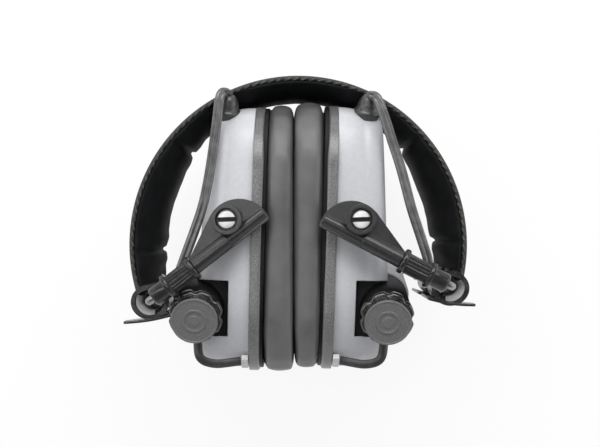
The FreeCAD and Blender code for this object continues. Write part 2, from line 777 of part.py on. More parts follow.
def bracket_plate(name, face):
    body = doc.addObject("PartDesign::Body", f"{name}_plate")
    sketch = body.newObject("Sketcher::SketchObject", f"{name}_outline")
    plane = next(item for item in body.Origin.OriginFeatures if item.Role == "XY_Plane")
    sketch.AttachmentSupport = [(plane, "")]
    sketch.MapMode = "FlatFace"
    sketch.AttachmentOffset = Placement(Vector(0, 0, face * size("bracket_inset")), Rotation())
    sketch.addGeometry(bracket_outline(), False)
    pad = body.newObject("PartDesign::Pad", f"{name}_pad")
    pad.Profile = sketch
    pad.setExpression("Length", "sizes.bracket_thickness")
    pad.Reversed = face < 0
    return body


def make_bracket(side, face, name):
    out = Z_AXIS * face
    axis = out * size("leg_out")
    tube = rod(f"{name}_tube", "sizes.bracket_tube_radius",
               "sizes.bracket_tube_end - sizes.bracket_start_along",
               axis + X_AXIS * size("bracket_start_along"), X_AXIS)
    ridge = cone(f"{name}_ridge", "sizes.bracket_ridge_radius", "sizes.bracket_ridge_radius * 0.85",
                 "sizes.bracket_ridge_end - sizes.bracket_tube_end",
                 axis + X_AXIS * size("bracket_tube_end"), X_AXIS)
    pivot = Vector(size("pivot_along"), size("pivot_across"), 0)
    outer = size("bracket_inset") + size("bracket_thickness")
    ring = rod(f"{name}_ring", "sizes.screw_ring_radius", "sizes.screw_ring_height", pivot + out * outer, out)
    leg_bore = rod(f"{name}_leg_bore", "sizes.wire_radius + sizes.running_clearance",
                   "sizes.bracket_bore_end", axis, X_AXIS)
    counterbore = rod(f"{name}_counterbore", "sizes.counterbore_radius", "2 * sizes.screw_ring_height",
                      pivot + out * outer, out)
    pin_bore = rod(f"{name}_pin_bore", "sizes.pivot_shoulder_radius + sizes.running_clearance",
                   "4 * sizes.bracket_thickness", pivot + out * (size("bracket_inset") - 2), out)
    slab = block(f"{name}_back", Vector(size("bracket_tube_end"), -20, 0), "40", "40", "40")
    back = size("bracket_inset")
    slab.Placement = Placement(Vector(size("bracket_tube_end"), -20, back - 40 if face > 0 else -back),
                               Rotation())
    solid = fuse(f"{name}_solid", bracket_plate(name, face), tube, ridge, ring)
    tools = fuse(f"{name}_tools", leg_bore, counterbore, pin_bore, slab)
    fork_node(cut(f"{name}_cut", solid, tools), name, side)


def make_sliders():
    for side, hand in ((-1, "left"), (1, "right")):
        make_fork(side, f"{hand}_fork")
        for front, word in ((1, "front"), (-1, "rear")):
            # the right fork's frame is turned over, so its front pieces are made behind
            face = front * -side
            make_adjuster(side, face, f"{hand}_{word}_adjuster")
            make_bracket(side, face, f"{hand}_{word}_bracket")


# ---- headband ------------------------------------------------------------------------------------

LEFT_ANGLE = math.degrees(math.atan2(LEFT_HINGE.y - BAND_CENTRE.y, LEFT_HINGE.x - BAND_CENTRE.x)) % 360
RIGHT_ANGLE = math.degrees(math.atan2(RIGHT_HINGE.y - BAND_CENTRE.y, RIGHT_HINGE.x - BAND_CENTRE.x))


def band_arc(name, inner, outer, width, trim):
    """Part of a ring round the band's centre, from one cross-bar to the other, less trim at each end."""
    start, span = RIGHT_ANGLE + trim, LEFT_ANGLE - RIGHT_ANGLE - 2 * trim
    solids = []
    for word, radius in (("outer", outer), ("inner", inner)):
        place = Placement(BAND_CENTRE - Z_AXIS * size(width) / 2, Rotation(Z_AXIS, start))
        ring = make("Part::Cylinder", f"{name}_{word}", place, Height=f"sizes.{width}")
        ring.Radius = radius
        ring.Angle = span
        solids.append(ring)
    return cut(name, *solids)


def widening_edge(face):
    """Block beyond the leather's edge; that edge leans out from the crown to the cross-bars."""
    crown, end = size("band_width") / 2, size("band_end_width") / 2
    lowest = min(LEFT_HINGE.y, RIGHT_HINGE.y) - BAND_CENTRE.y
    lean = math.degrees(math.atan2(end - crown, COVER_OUTER - lowest))
    reach = 4 * COVER_OUTER
    pivot = BAND_CENTRE + Vector(0, COVER_OUTER, face * crown)
    slab = block(f"edge_block_{face + 1}", Vector(-reach / 2, -reach, 0 if face > 0 else -reach),
                 str(reach), str(2 * reach), str(reach))
    slab.Placement = Placement(pivot, Rotation(X_AXIS, -face * lean)).multiply(slab.Placement)
    return slab


def make_band():
    trim = size("band_end_angle")
    whole = band_arc("cover_whole", COVER_INNER, COVER_OUTER, "band_end_width", trim)
    edges = fuse("cover_edges", widening_edge(1), widening_edge(-1))
    node(cut("cover", whole, edges), "headband_cover")
    pad = band_arc("pad", PAD_OUTER - size("pad_thickness"), PAD_OUTER, "pad_width", trim)
    node(pad, "headband_pad")
    strip = band_arc("strip", SPRING_INNER, SPRING_OUTER, "spring_width", 0)
    eyes, bores = [], []
    for hand, hinge in (("left", LEFT_HINGE), ("right", RIGHT_HINGE)):
        low = hinge - Z_AXIS * size("spring_width") / 2
        eyes.append(rod(f"{hand}_eye", f"{WIRE_BORE} + sizes.spring_thickness", "sizes.spring_width", low))
        bores.append(rod(f"{hand}_eye_bore", str(WIRE_BORE), "sizes.spring_width + 2", low - Z_AXIS))
        bores.append(block(f"{hand}_eye_gap", hinge - Vector(10, 10, size("cable_gap") / 2), "20", "20",
                           "sizes.cable_gap"))
    spring = cut("spring", fuse("spring_solid", strip, *eyes), fuse("spring_tools", *bores))
    node(spring, "band_spring")


def loop_half(hand, hinge, angle, face):
    """Half of an end loop: a roll of leather round the eye, with a free tail pointing away."""
    inner = WIRE_BORE + size("spring_thickness") + size("soft_gap")
    start = hinge + Z_AXIS * face * size("cable_gap") / 2
    length = "(sizes.loop_width - sizes.cable_gap) / 2"
    roll = rod(f"{hand}_roll_{face + 1}", f"{inner} + sizes.loop_wall", length, start, Z_AXIS * face)
    outer = inner + size("loop_wall")
    side = -1 if hand == "left" else 1
    tail = make("Part::Box", f"{hand}_tail_{face + 1}", None, Length="sizes.tail_length",
                Width="sizes.tail_thickness", Height=length)
    depth = (size("loop_width") - size("cable_gap")) / 2
    low = hinge + Vector(0, size("tail_thickness") - outer, 0)
    low.z = size("cable_gap") / 2 if face > 0 else -size("cable_gap") / 2 - depth
    if side > 0:
        tail.Placement = Placement(low - Y_AXIS * size("tail_thickness"), Rotation(Z_AXIS, -size("tail_slope")))
    else:
        turn = Rotation(Z_AXIS, 180 + size("tail_slope"))
        tail.Placement = Placement(low, turn)
    bore = rod(f"{hand}_roll_bore_{face + 1}", str(inner), "sizes.loop_width", start - Z_AXIS * face, Z_AXIS * face)
    strip_slot = spring_slot(hand, angle, face)
    return cut(f"{hand}_loop_{face + 1}", fuse(f"{hand}_loop_solid_{face + 1}", roll, tail),
               fuse(f"{hand}_loop_tools_{face + 1}", bore, strip_slot))


def spring_slot(hand, angle, face):
    """Way out of the roll for the spring strip, towards the crown."""
    room = size("soft_gap")
    slot = make("Part::Box", f"{hand}_slot_{face + 1}", None)
    slot.Length = 30
    slot.Width = size("spring_thickness") + 2 * room
    slot.Height = size("loop_width") + 2
    towards_crown = angle - 90 if hand == "left" else angle + 90
    outward = Vector(math.cos(math.radians(angle)), math.sin(math.radians(angle)), 0)
    hinge = LEFT_HINGE if hand == "left" else RIGHT_HINGE
    near = hinge + outward * (WIRE_BORE - room)
    far = hinge + outward * (WIRE_BORE + size("spring_thickness") + room)
    base = near if hand == "left" else far
    slot.Placement = Placement(base - Z_AXIS * (size("loop_width") / 2 + 1), Rotation(Z_AXIS, towards_crown))
    return slot


def make_loops():
    for hand, hinge, angle in (("left", LEFT_HINGE, LEFT_ANGLE), ("right", RIGHT_HINGE, RIGHT_ANGLE)):
        halves = [loop_half(hand, hinge, angle, face) for face in (1, -1)]
        node(group(f"{hand}_loop", *halves), f"{hand}_end_loop")
        width = size("cable_gap") - 2 * size("soft_gap")
        low = hinge - Z_AXIS * width / 2
        ring = rod(f"{hand}_grommet_solid", "sizes.grommet_radius", "sizes.cable_gap - 2 * sizes.soft_gap", low)
        bore = rod(f"{hand}_grommet_bore", str(WIRE_BORE), "sizes.cable_gap", low - Z_AXIS * 0.5)
        node(cut(f"{hand}_grommet_cut", ring, bore), f"{hand}_cable_grommet")


# ---- boots, cables and tether straps -------------------------------------------------------------

def boot_cone(name, room):
    """Cable boot's cone, leaning forward on the shell's top corner, or its hole, larger by room."""
    lean = math.radians(size("boot_lean"))
    direction = Vector(0, math.cos(lean), math.sin(lean))
    base = Vector(size("boot_out"), size("boot_up"), size("boot_front"))
    slope = (size("boot_radius") - size("boot_tip_radius")) / size("boot_length")
    sunk = size("boot_sunk")
    return cone(name, f"{size('boot_radius') + slope * sunk + room}", f"sizes.boot_tip_radius + {room}",
                "sizes.boot_length + sizes.boot_sunk", base - direction * sunk, direction)


def make_boot():
    cup_pair(boot_cone("boot", 0), "cable_boot")


def boot_tip():
    lean = math.radians(size("boot_lean"))
    direction = Vector(0, math.cos(lean), math.sin(lean))
    base = Vector(size("boot_out"), size("boot_up"), size("boot_front"))
    return base + direction * size("boot_length"), direction


def rounded_path(points):
    """Straight runs joined by tangent arcs, each as large as its two runs allow."""
    edges, here = [], points[0]
    for before, corner, after in zip(points, points[1:], points[2:]):
        back, ahead = before - corner, after - corner
        run = min(back.Length, ahead.Length)
        turn = math.pi - back.getAngle(ahead)
        trim = 0.45 * run
        back.normalize()
        ahead.normalize()
        arc_start, arc_end = corner + back * trim, corner + ahead * trim
        centre_line = (back + ahead).normalize()
        radius = trim / math.tan(turn / 2)
        middle = corner + centre_line * (radius / math.cos(turn / 2) - radius)
        edges.append(Part.LineSegment(here, arc_start).toShape())
        edges.append(Part.Arc(arc_start, middle, arc_end).toShape())
        print(f"cord arc radius {radius:.1f}")
        here = arc_end
    edges.append(Part.LineSegment(here, points[-1]).toShape())
    return Part.Wire(edges)


def cord(name, points, radius):
    """Round cord swept along its route; a Part::Feature, because its path is made of arcs in space."""
    path = rounded_path(points)
    start = points[0]
    ring = Part.Wire(Part.Circle(start, points[1] - start, radius).toShape())
    solid = path.makePipeShell([ring], True, False)
    ratio = solid.Volume / (math.pi * radius ** 2 * path.Length)
    print(f"{name}: length {path.Length:.1f} mm, volume over section times length {ratio:.3f}")
    item = doc.addObject("Part::Feature", name)
    item.Shape = solid
    return item


# routes in the cups' frame: distance out from the middle plane, up and to the front
LEFT_UPPER_ROUTE = [(27.6, 55.6, 32.6), (30.0, 52.0, 33.8), (30.6, 45.4, 34.6),
                    (30.9, 37.6, 35.4), (31.6, 29.0, 36.2), (32.8, 20.8, 37.2), (35.0, 12.4, 37.9),
                    (38.0, 3.4, 38.0), (40.8, -4.6, 38.0)]
RIGHT_UPPER_ROUTE = [(28.0, 55.6, 32.6), (31.2, 51.6, 33.8), (33.2, 45.4, 34.6),
                     (35.6, 38.0, 35.4), (38.2, 30.0, 36.2), (41.2, 21.6, 37.2), (44.2, 12.8, 37.9),
                     (47.3, 3.6, 38.0), (50.3, -4.6, 38.0)]
# routes in the leg's frame: along it, across it towards the pivot, and to the front
LEFT_LOWER_ROUTE = [(13.4, 0.9, 37.6), (10.2, -0.4, 33.4), (8.8, -0.8, 26.4), (8.5, -0.8, 16.6),
                    (8.4, -0.7, 7.6), (8.2, -0.6, 1.4)]
RIGHT_LOWER_ROUTE = [(10.4, 0.6, 36.9), (10.0, -1.8, 32.6), (9.8, -2.8, 25.6), (9.6, -3.0, 17.0),
                     (9.2, -2.7, 8.2), (8.4, -2.2, 1.8)]


def cup_point(side, place):
    out, up, front = place
    return cup_place(side).multVec(Vector(side * out, up, front))


def leg_point(side, place):
    along, across, front = place
    return fork_place(side).multVec(Vector(along, across, front if side < 0 else -front))


def make_cables():
    tip, direction = boot_tip()
    routes = (("left", -1, LEFT_UPPER_ROUTE, LEFT_LOWER_ROUTE),
              ("right", 1, RIGHT_UPPER_ROUTE, RIGHT_LOWER_ROUTE))
    for hand, side, upper, lower in routes:
        start = tip + direction * 0.05
        risen = tip + direction * size("cable_rise")
        turned = [cup_point(side, (place.x, place.y, place.z)) for place in (start, risen)]
        turned += [cup_point(side, place) for place in upper]
        NODES[f"{hand}_upper_cable"] = cord(f"{hand}_upper_cable", turned, size("cable_radius"))
        meeting = turned[-1]
        ahead = (turned[-1] - turned[-2]).normalize()
        hinge = LEFT_HINGE if side < 0 else RIGHT_HINGE
        inside = [leg_point(side, place) for place in lower]
        middle = ORIGIN + hinge
        approach = (inside[-1] - middle).normalize()
        end = middle + approach * (size("grommet_radius") + 2 * size("soft_gap"))
        route = [meeting, meeting + ahead * 3.6] + inside + [end]
        NODES[f"{hand}_lower_cable"] = cord(f"{hand}_lower_cable", route, size("cable_radius"))


STRAP_ROUTE = [(38.6, -41.6, 33.6), (38.2, -45.4, 33.9), (34.6, -48.9, 33.0), (29.0, -50.0, 31.2),
               (24.0, -49.4, 29.0), (19.3, -48.0, 27.5)]


def make_straps():
    for hand, side in (("left", -1), ("right", 1)):
        points = [cup_point(side, place) for place in STRAP_ROUTE]
        NODES[f"{hand}_tether_strap"] = cord(f"{hand}_tether_strap", points, size("strap_radius"))
    make_keeper()


def make_keeper():
    """Tab that holds the strap's end, seated on the round lower front corner of the shell's edge."""
    angle = math.radians(size("keeper_angle"))
    outward = Vector(0, -math.cos(angle), math.sin(angle))
    along = Vector(0, math.sin(angle), math.cos(angle))
    half_height, half_depth, corner = halves_of("shell")
    centre = Vector(SHELL_BASE + size("soft_gap"), corner - half_height, half_depth - corner)
    low = centre + outward * corner - along * size("keeper_height") / 2
    keeper = block("keeper", low, "sizes.keeper_width", "sizes.keeper_height", "sizes.keeper_depth")
    keeper.Placement = Placement(low, Rotation(X_AXIS, along, outward, "XYZ"))
    cup_pair(keeper, "strap_keeper")


# ---- build, check and write ----------------------------------------------------------------------

def check(item):
    """Stops the build if an object failed or a sub-part has no sound shape."""
    if "Invalid" in item.State or "Error" in item.State:
        raise RuntimeError(f"{item.Label} did not build")
    if hasattr(item, "Shape") and item in NODES.values():
        if item.Shape.isNull() or not item.Shape.isValid() or not item.Shape.Solids:
            raise RuntimeError(f"{item.Label} has no sound shape")


for make_piece in (make_cushion, make_rim, make_shell, make_ear_foam, make_speaker, make_sound_foam,
                   make_board, make_microphone, make_battery, make_cap, make_buttons, make_screws,
                   make_sliders, make_band, make_loops, make_boot, make_cables, make_straps):
    make_piece()
doc.recompute()
for item in doc.Objects:
    check(item)
os.makedirs("parts", exist_ok=True)
for label, item in NODES.items():
    item.Label = label
    item.Shape.exportStep(f"parts/{label}.step")
print(f"{len(NODES)} sub-parts; crown at {CROWN + CUP_HEIGHT:.2f}, cups at {CUP_HEIGHT:.2f}")
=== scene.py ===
import math
import bpy
from mathutils import Vector, Matrix, noise


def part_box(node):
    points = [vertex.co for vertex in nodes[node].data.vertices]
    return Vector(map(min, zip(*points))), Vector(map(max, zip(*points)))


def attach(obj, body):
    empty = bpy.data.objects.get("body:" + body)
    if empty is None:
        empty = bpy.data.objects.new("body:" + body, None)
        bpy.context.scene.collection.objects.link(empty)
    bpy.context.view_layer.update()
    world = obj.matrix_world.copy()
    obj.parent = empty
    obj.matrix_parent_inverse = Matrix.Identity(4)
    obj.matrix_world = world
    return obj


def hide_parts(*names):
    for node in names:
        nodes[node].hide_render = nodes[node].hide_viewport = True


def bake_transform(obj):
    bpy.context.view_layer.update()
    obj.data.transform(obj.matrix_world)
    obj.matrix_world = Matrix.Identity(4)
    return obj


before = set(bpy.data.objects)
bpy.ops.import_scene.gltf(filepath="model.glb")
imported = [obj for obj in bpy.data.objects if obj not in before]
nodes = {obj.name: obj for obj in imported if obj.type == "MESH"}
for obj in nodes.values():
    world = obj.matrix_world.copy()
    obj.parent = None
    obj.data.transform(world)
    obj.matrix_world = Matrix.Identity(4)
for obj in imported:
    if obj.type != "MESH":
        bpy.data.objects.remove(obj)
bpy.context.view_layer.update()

# ---- studio ----
# The earmuff lies on its back on a pale table, in a pale room, under a camera that looks straight down.
# A wide soft lamp hangs beyond the crown, a narrow one overhead to the left, and two stand at the sides.
bpy.context.scene.view_settings.view_transform = "Standard"
bpy.ops.object.camera_add(location=(0.0007, 0.0005, 0.4691), rotation=(0, 0, 0))
camera = bpy.context.object
camera.data.lens = 60.7
bpy.context.scene.camera = camera


def tone(red, green=None, blue=None):
    """Linear colour of a tone given from 0 to 255 as it is seen."""
    seen = [red, red if green is None else green, red if blue is None else blue]
    return tuple((c / 255 / 12.92 if c < 11 else ((c / 255 + 0.055) / 1.055) ** 2.4) for c in seen) + (1,)


def new_finish(name):
    """An empty material: its nodes, its links and its shader."""
    finish = bpy.data.materials.new(name)
    finish.use_nodes = True
    return finish, finish.node_tree.nodes, finish.node_tree.links, finish.node_tree.nodes["Principled BSDF"]


def soft_lamp(name, width, height, power, place, towards):
    """A rectangular soft lamp, turned towards a point."""
    bpy.ops.object.light_add(type="AREA", location=place)
    lamp = bpy.context.object
    lamp.name = name
    lamp.data.shape, lamp.data.size, lamp.data.size_y = "RECTANGLE", width, height
    lamp.data.energy = power
    lamp.rotation_euler = (Vector(towards) - Vector(place)).to_track_quat("-Z", "Y").to_euler()


def any_ray(n, l, *kinds):
    """A signal that is 1 for the rays of any of these kinds."""
    rays = n.new("ShaderNodeLightPath")
    signal = rays.outputs[kinds[0]]
    for kind in kinds[1:]:
        either = n.new("ShaderNodeMath")
        either.operation = "MAXIMUM"
        l.new(signal, either.inputs[0])
        l.new(rays.outputs[kind], either.inputs[1])
        signal = either.outputs[0]
    return signal


soft_lamp("crown_lamp", 0.9, 0.34, 4.4, (0, 0.46, 0.54), (0, 0.02, 0.08))
soft_lamp("left_lamp", 0.25, 0.6, 0.7, (-0.62, 0.05, 0.34), (0, 0, 0.05))
soft_lamp("strip_lamp", 0.07, 0.6, 0.8, (-0.24, 0.06, 0.72), (0, 0, 0.05))
soft_lamp("right_lamp", 0.25, 0.6, 0.7, (0.62, 0.05, 0.34), (0, 0, 0.05))

table_level, table_glow = -0.0006, 0.88
bpy.ops.mesh.primitive_plane_add(size=5, location=(0, 0, table_level))
table = bpy.context.object
table.name = "table_top"
table_white, n, l, shader = new_finish("table_white")
shader.inputs["Base Color"].default_value = tone(246)
shader.inputs["Roughness"].default_value = 0.9
glow = n.new("ShaderNodeEmission")
share = n.new("ShaderNodeMath")
share.operation = "MULTIPLY"
share.inputs[1].default_value = table_glow
l.new(any_ray(n, l, "Is Camera Ray", "Is Glossy Ray", "Is Transmission Ray"), share.inputs[0])
mixed = n.new("ShaderNodeMixShader")
l.new(share.outputs[0], mixed.inputs["Fac"])
l.new(shader.outputs[0], mixed.inputs[1])
l.new(glow.outputs[0], mixed.inputs[2])
l.new(mixed.outputs[0], n["Material Output"].inputs["Surface"])
table.data.materials.append(table_white)

room = bpy.data.worlds.new("pale_room")
room.use_nodes = True
bpy.context.scene.world = room
n, l = room.node_tree.nodes, room.node_tree.links
place, high = n.new("ShaderNodeTexCoord"), n.new("ShaderNodeSeparateXYZ")
l.new(place.outputs["Generated"], high.inputs[0])
ceiling = n.new("ShaderNodeValToRGB")
bright, dim = ceiling.color_ramp.elements
bright.position, bright.color = 0.15, (1, 1, 1, 1)
dim.position, dim.color = 0.75, (0.16, 0.16, 0.16, 1)
l.new(high.outputs["Z"], ceiling.inputs["Fac"])
walls, backdrop = n.new("ShaderNodeMix"), n.new("ShaderNodeMix")
walls.data_type = backdrop.data_type = "RGBA"
walls.inputs["A"].default_value = (0.42, 0.42, 0.43, 1)
l.new(any_ray(n, l, "Is Glossy Ray", "Is Transmission Ray"), walls.inputs["Factor"])
l.new(ceiling.outputs["Color"], walls.inputs["B"])
backdrop.inputs["B"].default_value = (1, 1, 1, 1)
l.new(any_ray(n, l, "Is Camera Ray"), backdrop.inputs["Factor"])
l.new(walls.outputs["Result"], backdrop.inputs["A"])
l.new(backdrop.outputs["Result"], n["Background"].inputs["Color"])


def dress(finish, *names):
    """Gives a material to CAD nodes."""
    for name in names:
        nodes[name].data.materials.clear()
        nodes[name].data.materials.append(finish)


def mottled(n, l, socket, dark, light, size, low=0.35, high=0.65):
    """Colour that drifts between two tones in patches of a given size; returns the object coordinates."""
    place = n.new("ShaderNodeTexCoord")
    patches = n.new("ShaderNodeTexNoise")
    patches.inputs["Scale"].default_value = 1 / size
    patches.inputs["Detail"].default_value = 4
    l.new(place.outputs["Object"], patches.inputs["Vector"])
    ramp = n.new("ShaderNodeValToRGB")
    for stop, position, colour in zip(ramp.color_ramp.elements, (low, high), (dark, light)):
        stop.position, stop.color = position, colour
    l.new(patches.outputs["Fac"], ramp.inputs["Fac"])
    l.new(ramp.outputs["Color"], socket)
    return place


def raised(n, l, shader, height, strength, distance, under=None):
    """Lifts a surface by a pattern's height, over softened edges where they are given."""
    bump = n.new("ShaderNodeBump")
    bump.inputs["Strength"].default_value = strength
    bump.inputs["Distance"].default_value = distance
    l.new(height, bump.inputs["Height"])
    if under is not None:
        l.new(under, bump.inputs["Normal"])
    l.new(bump.outputs["Normal"], shader.inputs["Normal"])


def drawn_metal(name, dark, light, roughness):
    """Metal with fine drawn streaks in its polish."""
    streak_size = 0.0006
    finish, n, l, shader = new_finish(name)
    place = mottled(n, l, shader.inputs["Base Color"], dark, light, 0.004)
    shader.inputs["Metallic"].default_value = 1.0
    streaks = n.new("ShaderNodeTexNoise")
    streaks.inputs["Scale"].default_value = 1 / streak_size
    l.new(place.outputs["Object"], streaks.inputs["Vector"])
    polish = n.new("ShaderNodeMapRange")
    polish.inputs["To Min"].default_value = roughness * 0.8
    polish.inputs["To Max"].default_value = roughness * 1.25
    l.new(streaks.outputs["Fac"], polish.inputs["Value"])
    l.new(polish.outputs["Result"], shader.inputs["Roughness"])
    raised(n, l, shader, streaks.outputs["Fac"], 0.08, 0.00005)
    return finish


dress(drawn_metal("blued_steel", tone(70, 72, 80), tone(104, 106, 112), 0.32), "band_spring")

# ---- leather cover ----
# A strap of black grained leather round the outside of the spring, wider at its ends than at the crown.
# Its two long edges are rounded and whipped with an olive-grey thread.
cover_low, cover_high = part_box("headband_cover")
cover_radius = (cover_high.x - cover_low.x) / 2
band_centre = Vector(((cover_high.x + cover_low.x) / 2, cover_high.y - cover_radius,
                      (cover_high.z + cover_low.z) / 2))
leather_thickness, crown_width, end_width = 0.0033, 0.048, 0.060
hands = {"left": -1, "right": 1}


def middle_of(node):
    """Middle of a CAD node's box."""
    low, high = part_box(node)
    return (low + high) / 2


def band_angle(place):
    """Angle of a place round the band's centre."""
    return math.atan2(place.y - band_centre.y, place.x - band_centre.x) % (2 * math.pi)


eyes = {hand: middle_of(f"{hand}_cable_grommet") for hand in hands}
left_end, right_end = band_angle(eyes["left"]), band_angle(eyes["right"]) - 2 * math.pi


def in_scene(name, data):
    """A new piece in the scene, made from its mesh or curve."""
    piece = bpy.data.objects.new(name, data)
    bpy.context.scene.collection.objects.link(piece)
    return piece


def pick(*pieces):
    """Selects these pieces and nothing else, the first of them as the active one."""
    bpy.ops.object.select_all(action="DESELECT")
    for piece in pieces:
        piece.select_set(True)
    if pieces:
        bpy.context.view_layer.objects.active = pieces[0]


def face_outwards(merge=False):
    """Turns the active piece's faces outwards, after its doubles are merged where that is asked."""
    bpy.ops.object.mode_set(mode="EDIT")
    bpy.ops.mesh.select_all(action="SELECT")
    if merge:
        bpy.ops.mesh.remove_doubles(threshold=1e-6)
    bpy.ops.mesh.normals_make_consistent(inside=False)
    bpy.ops.object.mode_set(mode="OBJECT")


def smooth_below(degrees):
    """Smooth shading on what is selected, but for edges sharper than an angle."""
    bpy.ops.object.shade_smooth_by_angle(angle=math.radians(degrees))


def settle(piece, body, slot, *replaced):
    """Puts a finished piece on its body, and hides the CAD nodes that it stands for; its slot is not used.
    """
    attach(piece, body)
    if replaced:
        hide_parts(*replaced)


def band_strip(name, inner, outer, width, start, end, corner, cuts, steps=120):
    """A strip of the band: a rounded cross-section, spun about the band's centre."""
    pick()
    radius = (inner + outer) / 2
    place = band_centre + Vector((radius * math.cos(start), radius * math.sin(start), 0))
    bpy.ops.mesh.primitive_plane_add(size=1, location=place, rotation=(math.pi / 2, 0, start))
    strip = bpy.context.object
    strip.name = name
    strip.scale = (outer - inner, width, 1)
    bpy.ops.object.transform_apply(location=True, rotation=True, scale=True)
    bpy.ops.object.mode_set(mode="EDIT")
    bpy.ops.mesh.bevel(offset=corner, segments=4, affect="VERTICES")
    bpy.ops.mesh.select_mode(type="EDGE")
    bpy.ops.mesh.select_all(action="DESELECT")
    bpy.ops.object.mode_set(mode="OBJECT")
    for edge in strip.data.edges:
        one, two = (strip.data.vertices[i].co for i in edge.vertices)
        edge.select = abs(one.z - two.z) > width / 2
    bpy.ops.object.mode_set(mode="EDIT")
    bpy.ops.mesh.subdivide(number_cuts=cuts)
    bpy.ops.mesh.select_all(action="SELECT")
    bpy.ops.mesh.spin(steps=steps, angle=start - end, center=band_centre, axis=(0, 0, 1))
    bpy.ops.mesh.select_mode(type="VERT")
    bpy.ops.object.mode_set(mode="OBJECT")
    face_outwards(merge=True)
    smooth_below(50)
    return strip


def leather(name, dark, light, cell, lift, roughness, patch=0.006):
    """Leather: a pebbled grain of small cells, and a tone that drifts from patch to patch."""
    finish, n, l, shader = new_finish(name)
    place = mottled(n, l, shader.inputs["Base Color"], dark, light, patch)
    shader.inputs["Roughness"].default_value = roughness
    grain = n.new("ShaderNodeTexVoronoi")
    grain.feature = "DISTANCE_TO_EDGE"
    grain.inputs["Scale"].default_value = 1 / cell
    l.new(place.outputs["Object"], grain.inputs["Vector"])
    pores = n.new("ShaderNodeMapRange")
    pores.inputs["From Max"].default_value = 0.16
    l.new(grain.outputs["Distance"], pores.inputs["Value"])
    raised(n, l, shader, pores.outputs["Result"], lift, 0.00012)
    return finish


cover_leather = leather("cover_leather", tone(32, 32, 33), tone(44, 44, 44), 0.0011, 0.5, 0.48)
cover_trim = math.radians(3.6)
cover = band_strip("leather_cover", cover_radius - leather_thickness, cover_radius, crown_width,
                   right_end + cover_trim, left_end - cover_trim, 0.0011, 10)
skived_by, skive_from, skive_run = 0.0014, 0.017, 0.004
lowest = min(eyes["left"].y, eyes["right"].y)


def widening(height):
    """How much wider than at its crown the leather is at a given height."""
    return 1 + (end_width / crown_width - 1) * (cover_high.y - height) / (cover_high.y - lowest)


def eased(value):
    """A soft step from 0 to 1."""
    value = min(max(value, 0.0), 1.0)
    return value * value * (3 - 2 * value)


for corner in cover.data.vertices:
    place = corner.co - band_centre
    radius = math.hypot(place.x, place.y)
    skived = eased((abs(place.z) - skive_from) / skive_run) * (cover_radius - radius) / leather_thickness
    corner.co.x += place.x / radius * skived_by * skived
    corner.co.y += place.y / radius * skived_by * skived
    corner.co.z = band_centre.z + place.z * widening(corner.co.y)
cover.data.materials.append(cover_leather)
settle(cover, "headband", "cover_leather", "headband_cover")

# whipped edge: one stitch, copied along both edges
stitch_pitch, stitch_inset, stitch_slant = 0.0033, 0.0013, math.radians(22)
thread, n, l, shader = new_finish("olive_thread")
mottled(n, l, shader.inputs["Base Color"], tone(34, 35, 31), tone(84, 84, 72), 0.0012)
shader.inputs["Roughness"].default_value = 0.75
pick()
bpy.ops.mesh.primitive_uv_sphere_add(segments=8, ring_count=6, radius=1)
stitch = bpy.context.object
stitch.scale = (0.00185, 0.00040, 0.00042)
bpy.ops.object.transform_apply(scale=True)
stitch.data.materials.append(thread)
stitches, pitch = [], stitch_pitch / cover_radius
count = int((left_end - right_end - 2 * cover_trim) / pitch)
for edge in (1, -1):
    for index in range(count):
        angle = right_end + cover_trim + (index + 0.5) * pitch
        reach = cover_radius - stitch_inset
        at = band_centre + Vector((reach * math.cos(angle), reach * math.sin(angle), 0))
        at.z += edge * crown_width / 2 * widening(at.y)
        copy = in_scene("stitch", stitch.data.copy())
        slant = Matrix.Rotation(angle + math.pi / 2 + stitch_slant, 4, "Z")
        copy.data.transform(Matrix.Translation(at) @ slant)
        stitches.append(copy)
pick(*stitches)
bpy.ops.object.join()
whipping = stitches[0]
whipping.name = "edge_whipping"
bpy.data.objects.remove(stitch)
bpy.ops.object.shade_smooth()
settle(whipping, "headband", "cover_leather")

# ---- headband pad ----
# A long thin cushion of soft black leather along the inside of the spring.
# It bulges between its sewn ends and is creased where the band bends most.
spring_radius = (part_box("band_spring")[1].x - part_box("band_spring")[0].x) / 2
pad_trim = math.radians(5.6)
pad_back, pad_wall, pad_width = spring_radius + 0.0011, 0.0030, 0.0474
pad_depth, side_bulge, end_dip, crease_dip, boot_dip = 0.0047, 0.0034, 0.0042, 0.0019, 0.0012
pad = band_strip("headband_padding", pad_back - pad_wall, pad_back, pad_width, right_end + pad_trim,
                 left_end - pad_trim, 0.0009, 30, 240)
creases = [math.radians(angle) for angle in (0.6, 41.5, 140.4, 183.2)]
crease_lips = [crease + edge for edge in (0.07, -0.07) for crease in creases]
boot_angles = [math.radians(62.6), math.radians(117.4)]


def near(angle, places, spread):
    """How close an angle is to one of several places, from 0 to 1."""
    return sum(math.exp(-((angle - place) / spread) ** 2) for place in places)


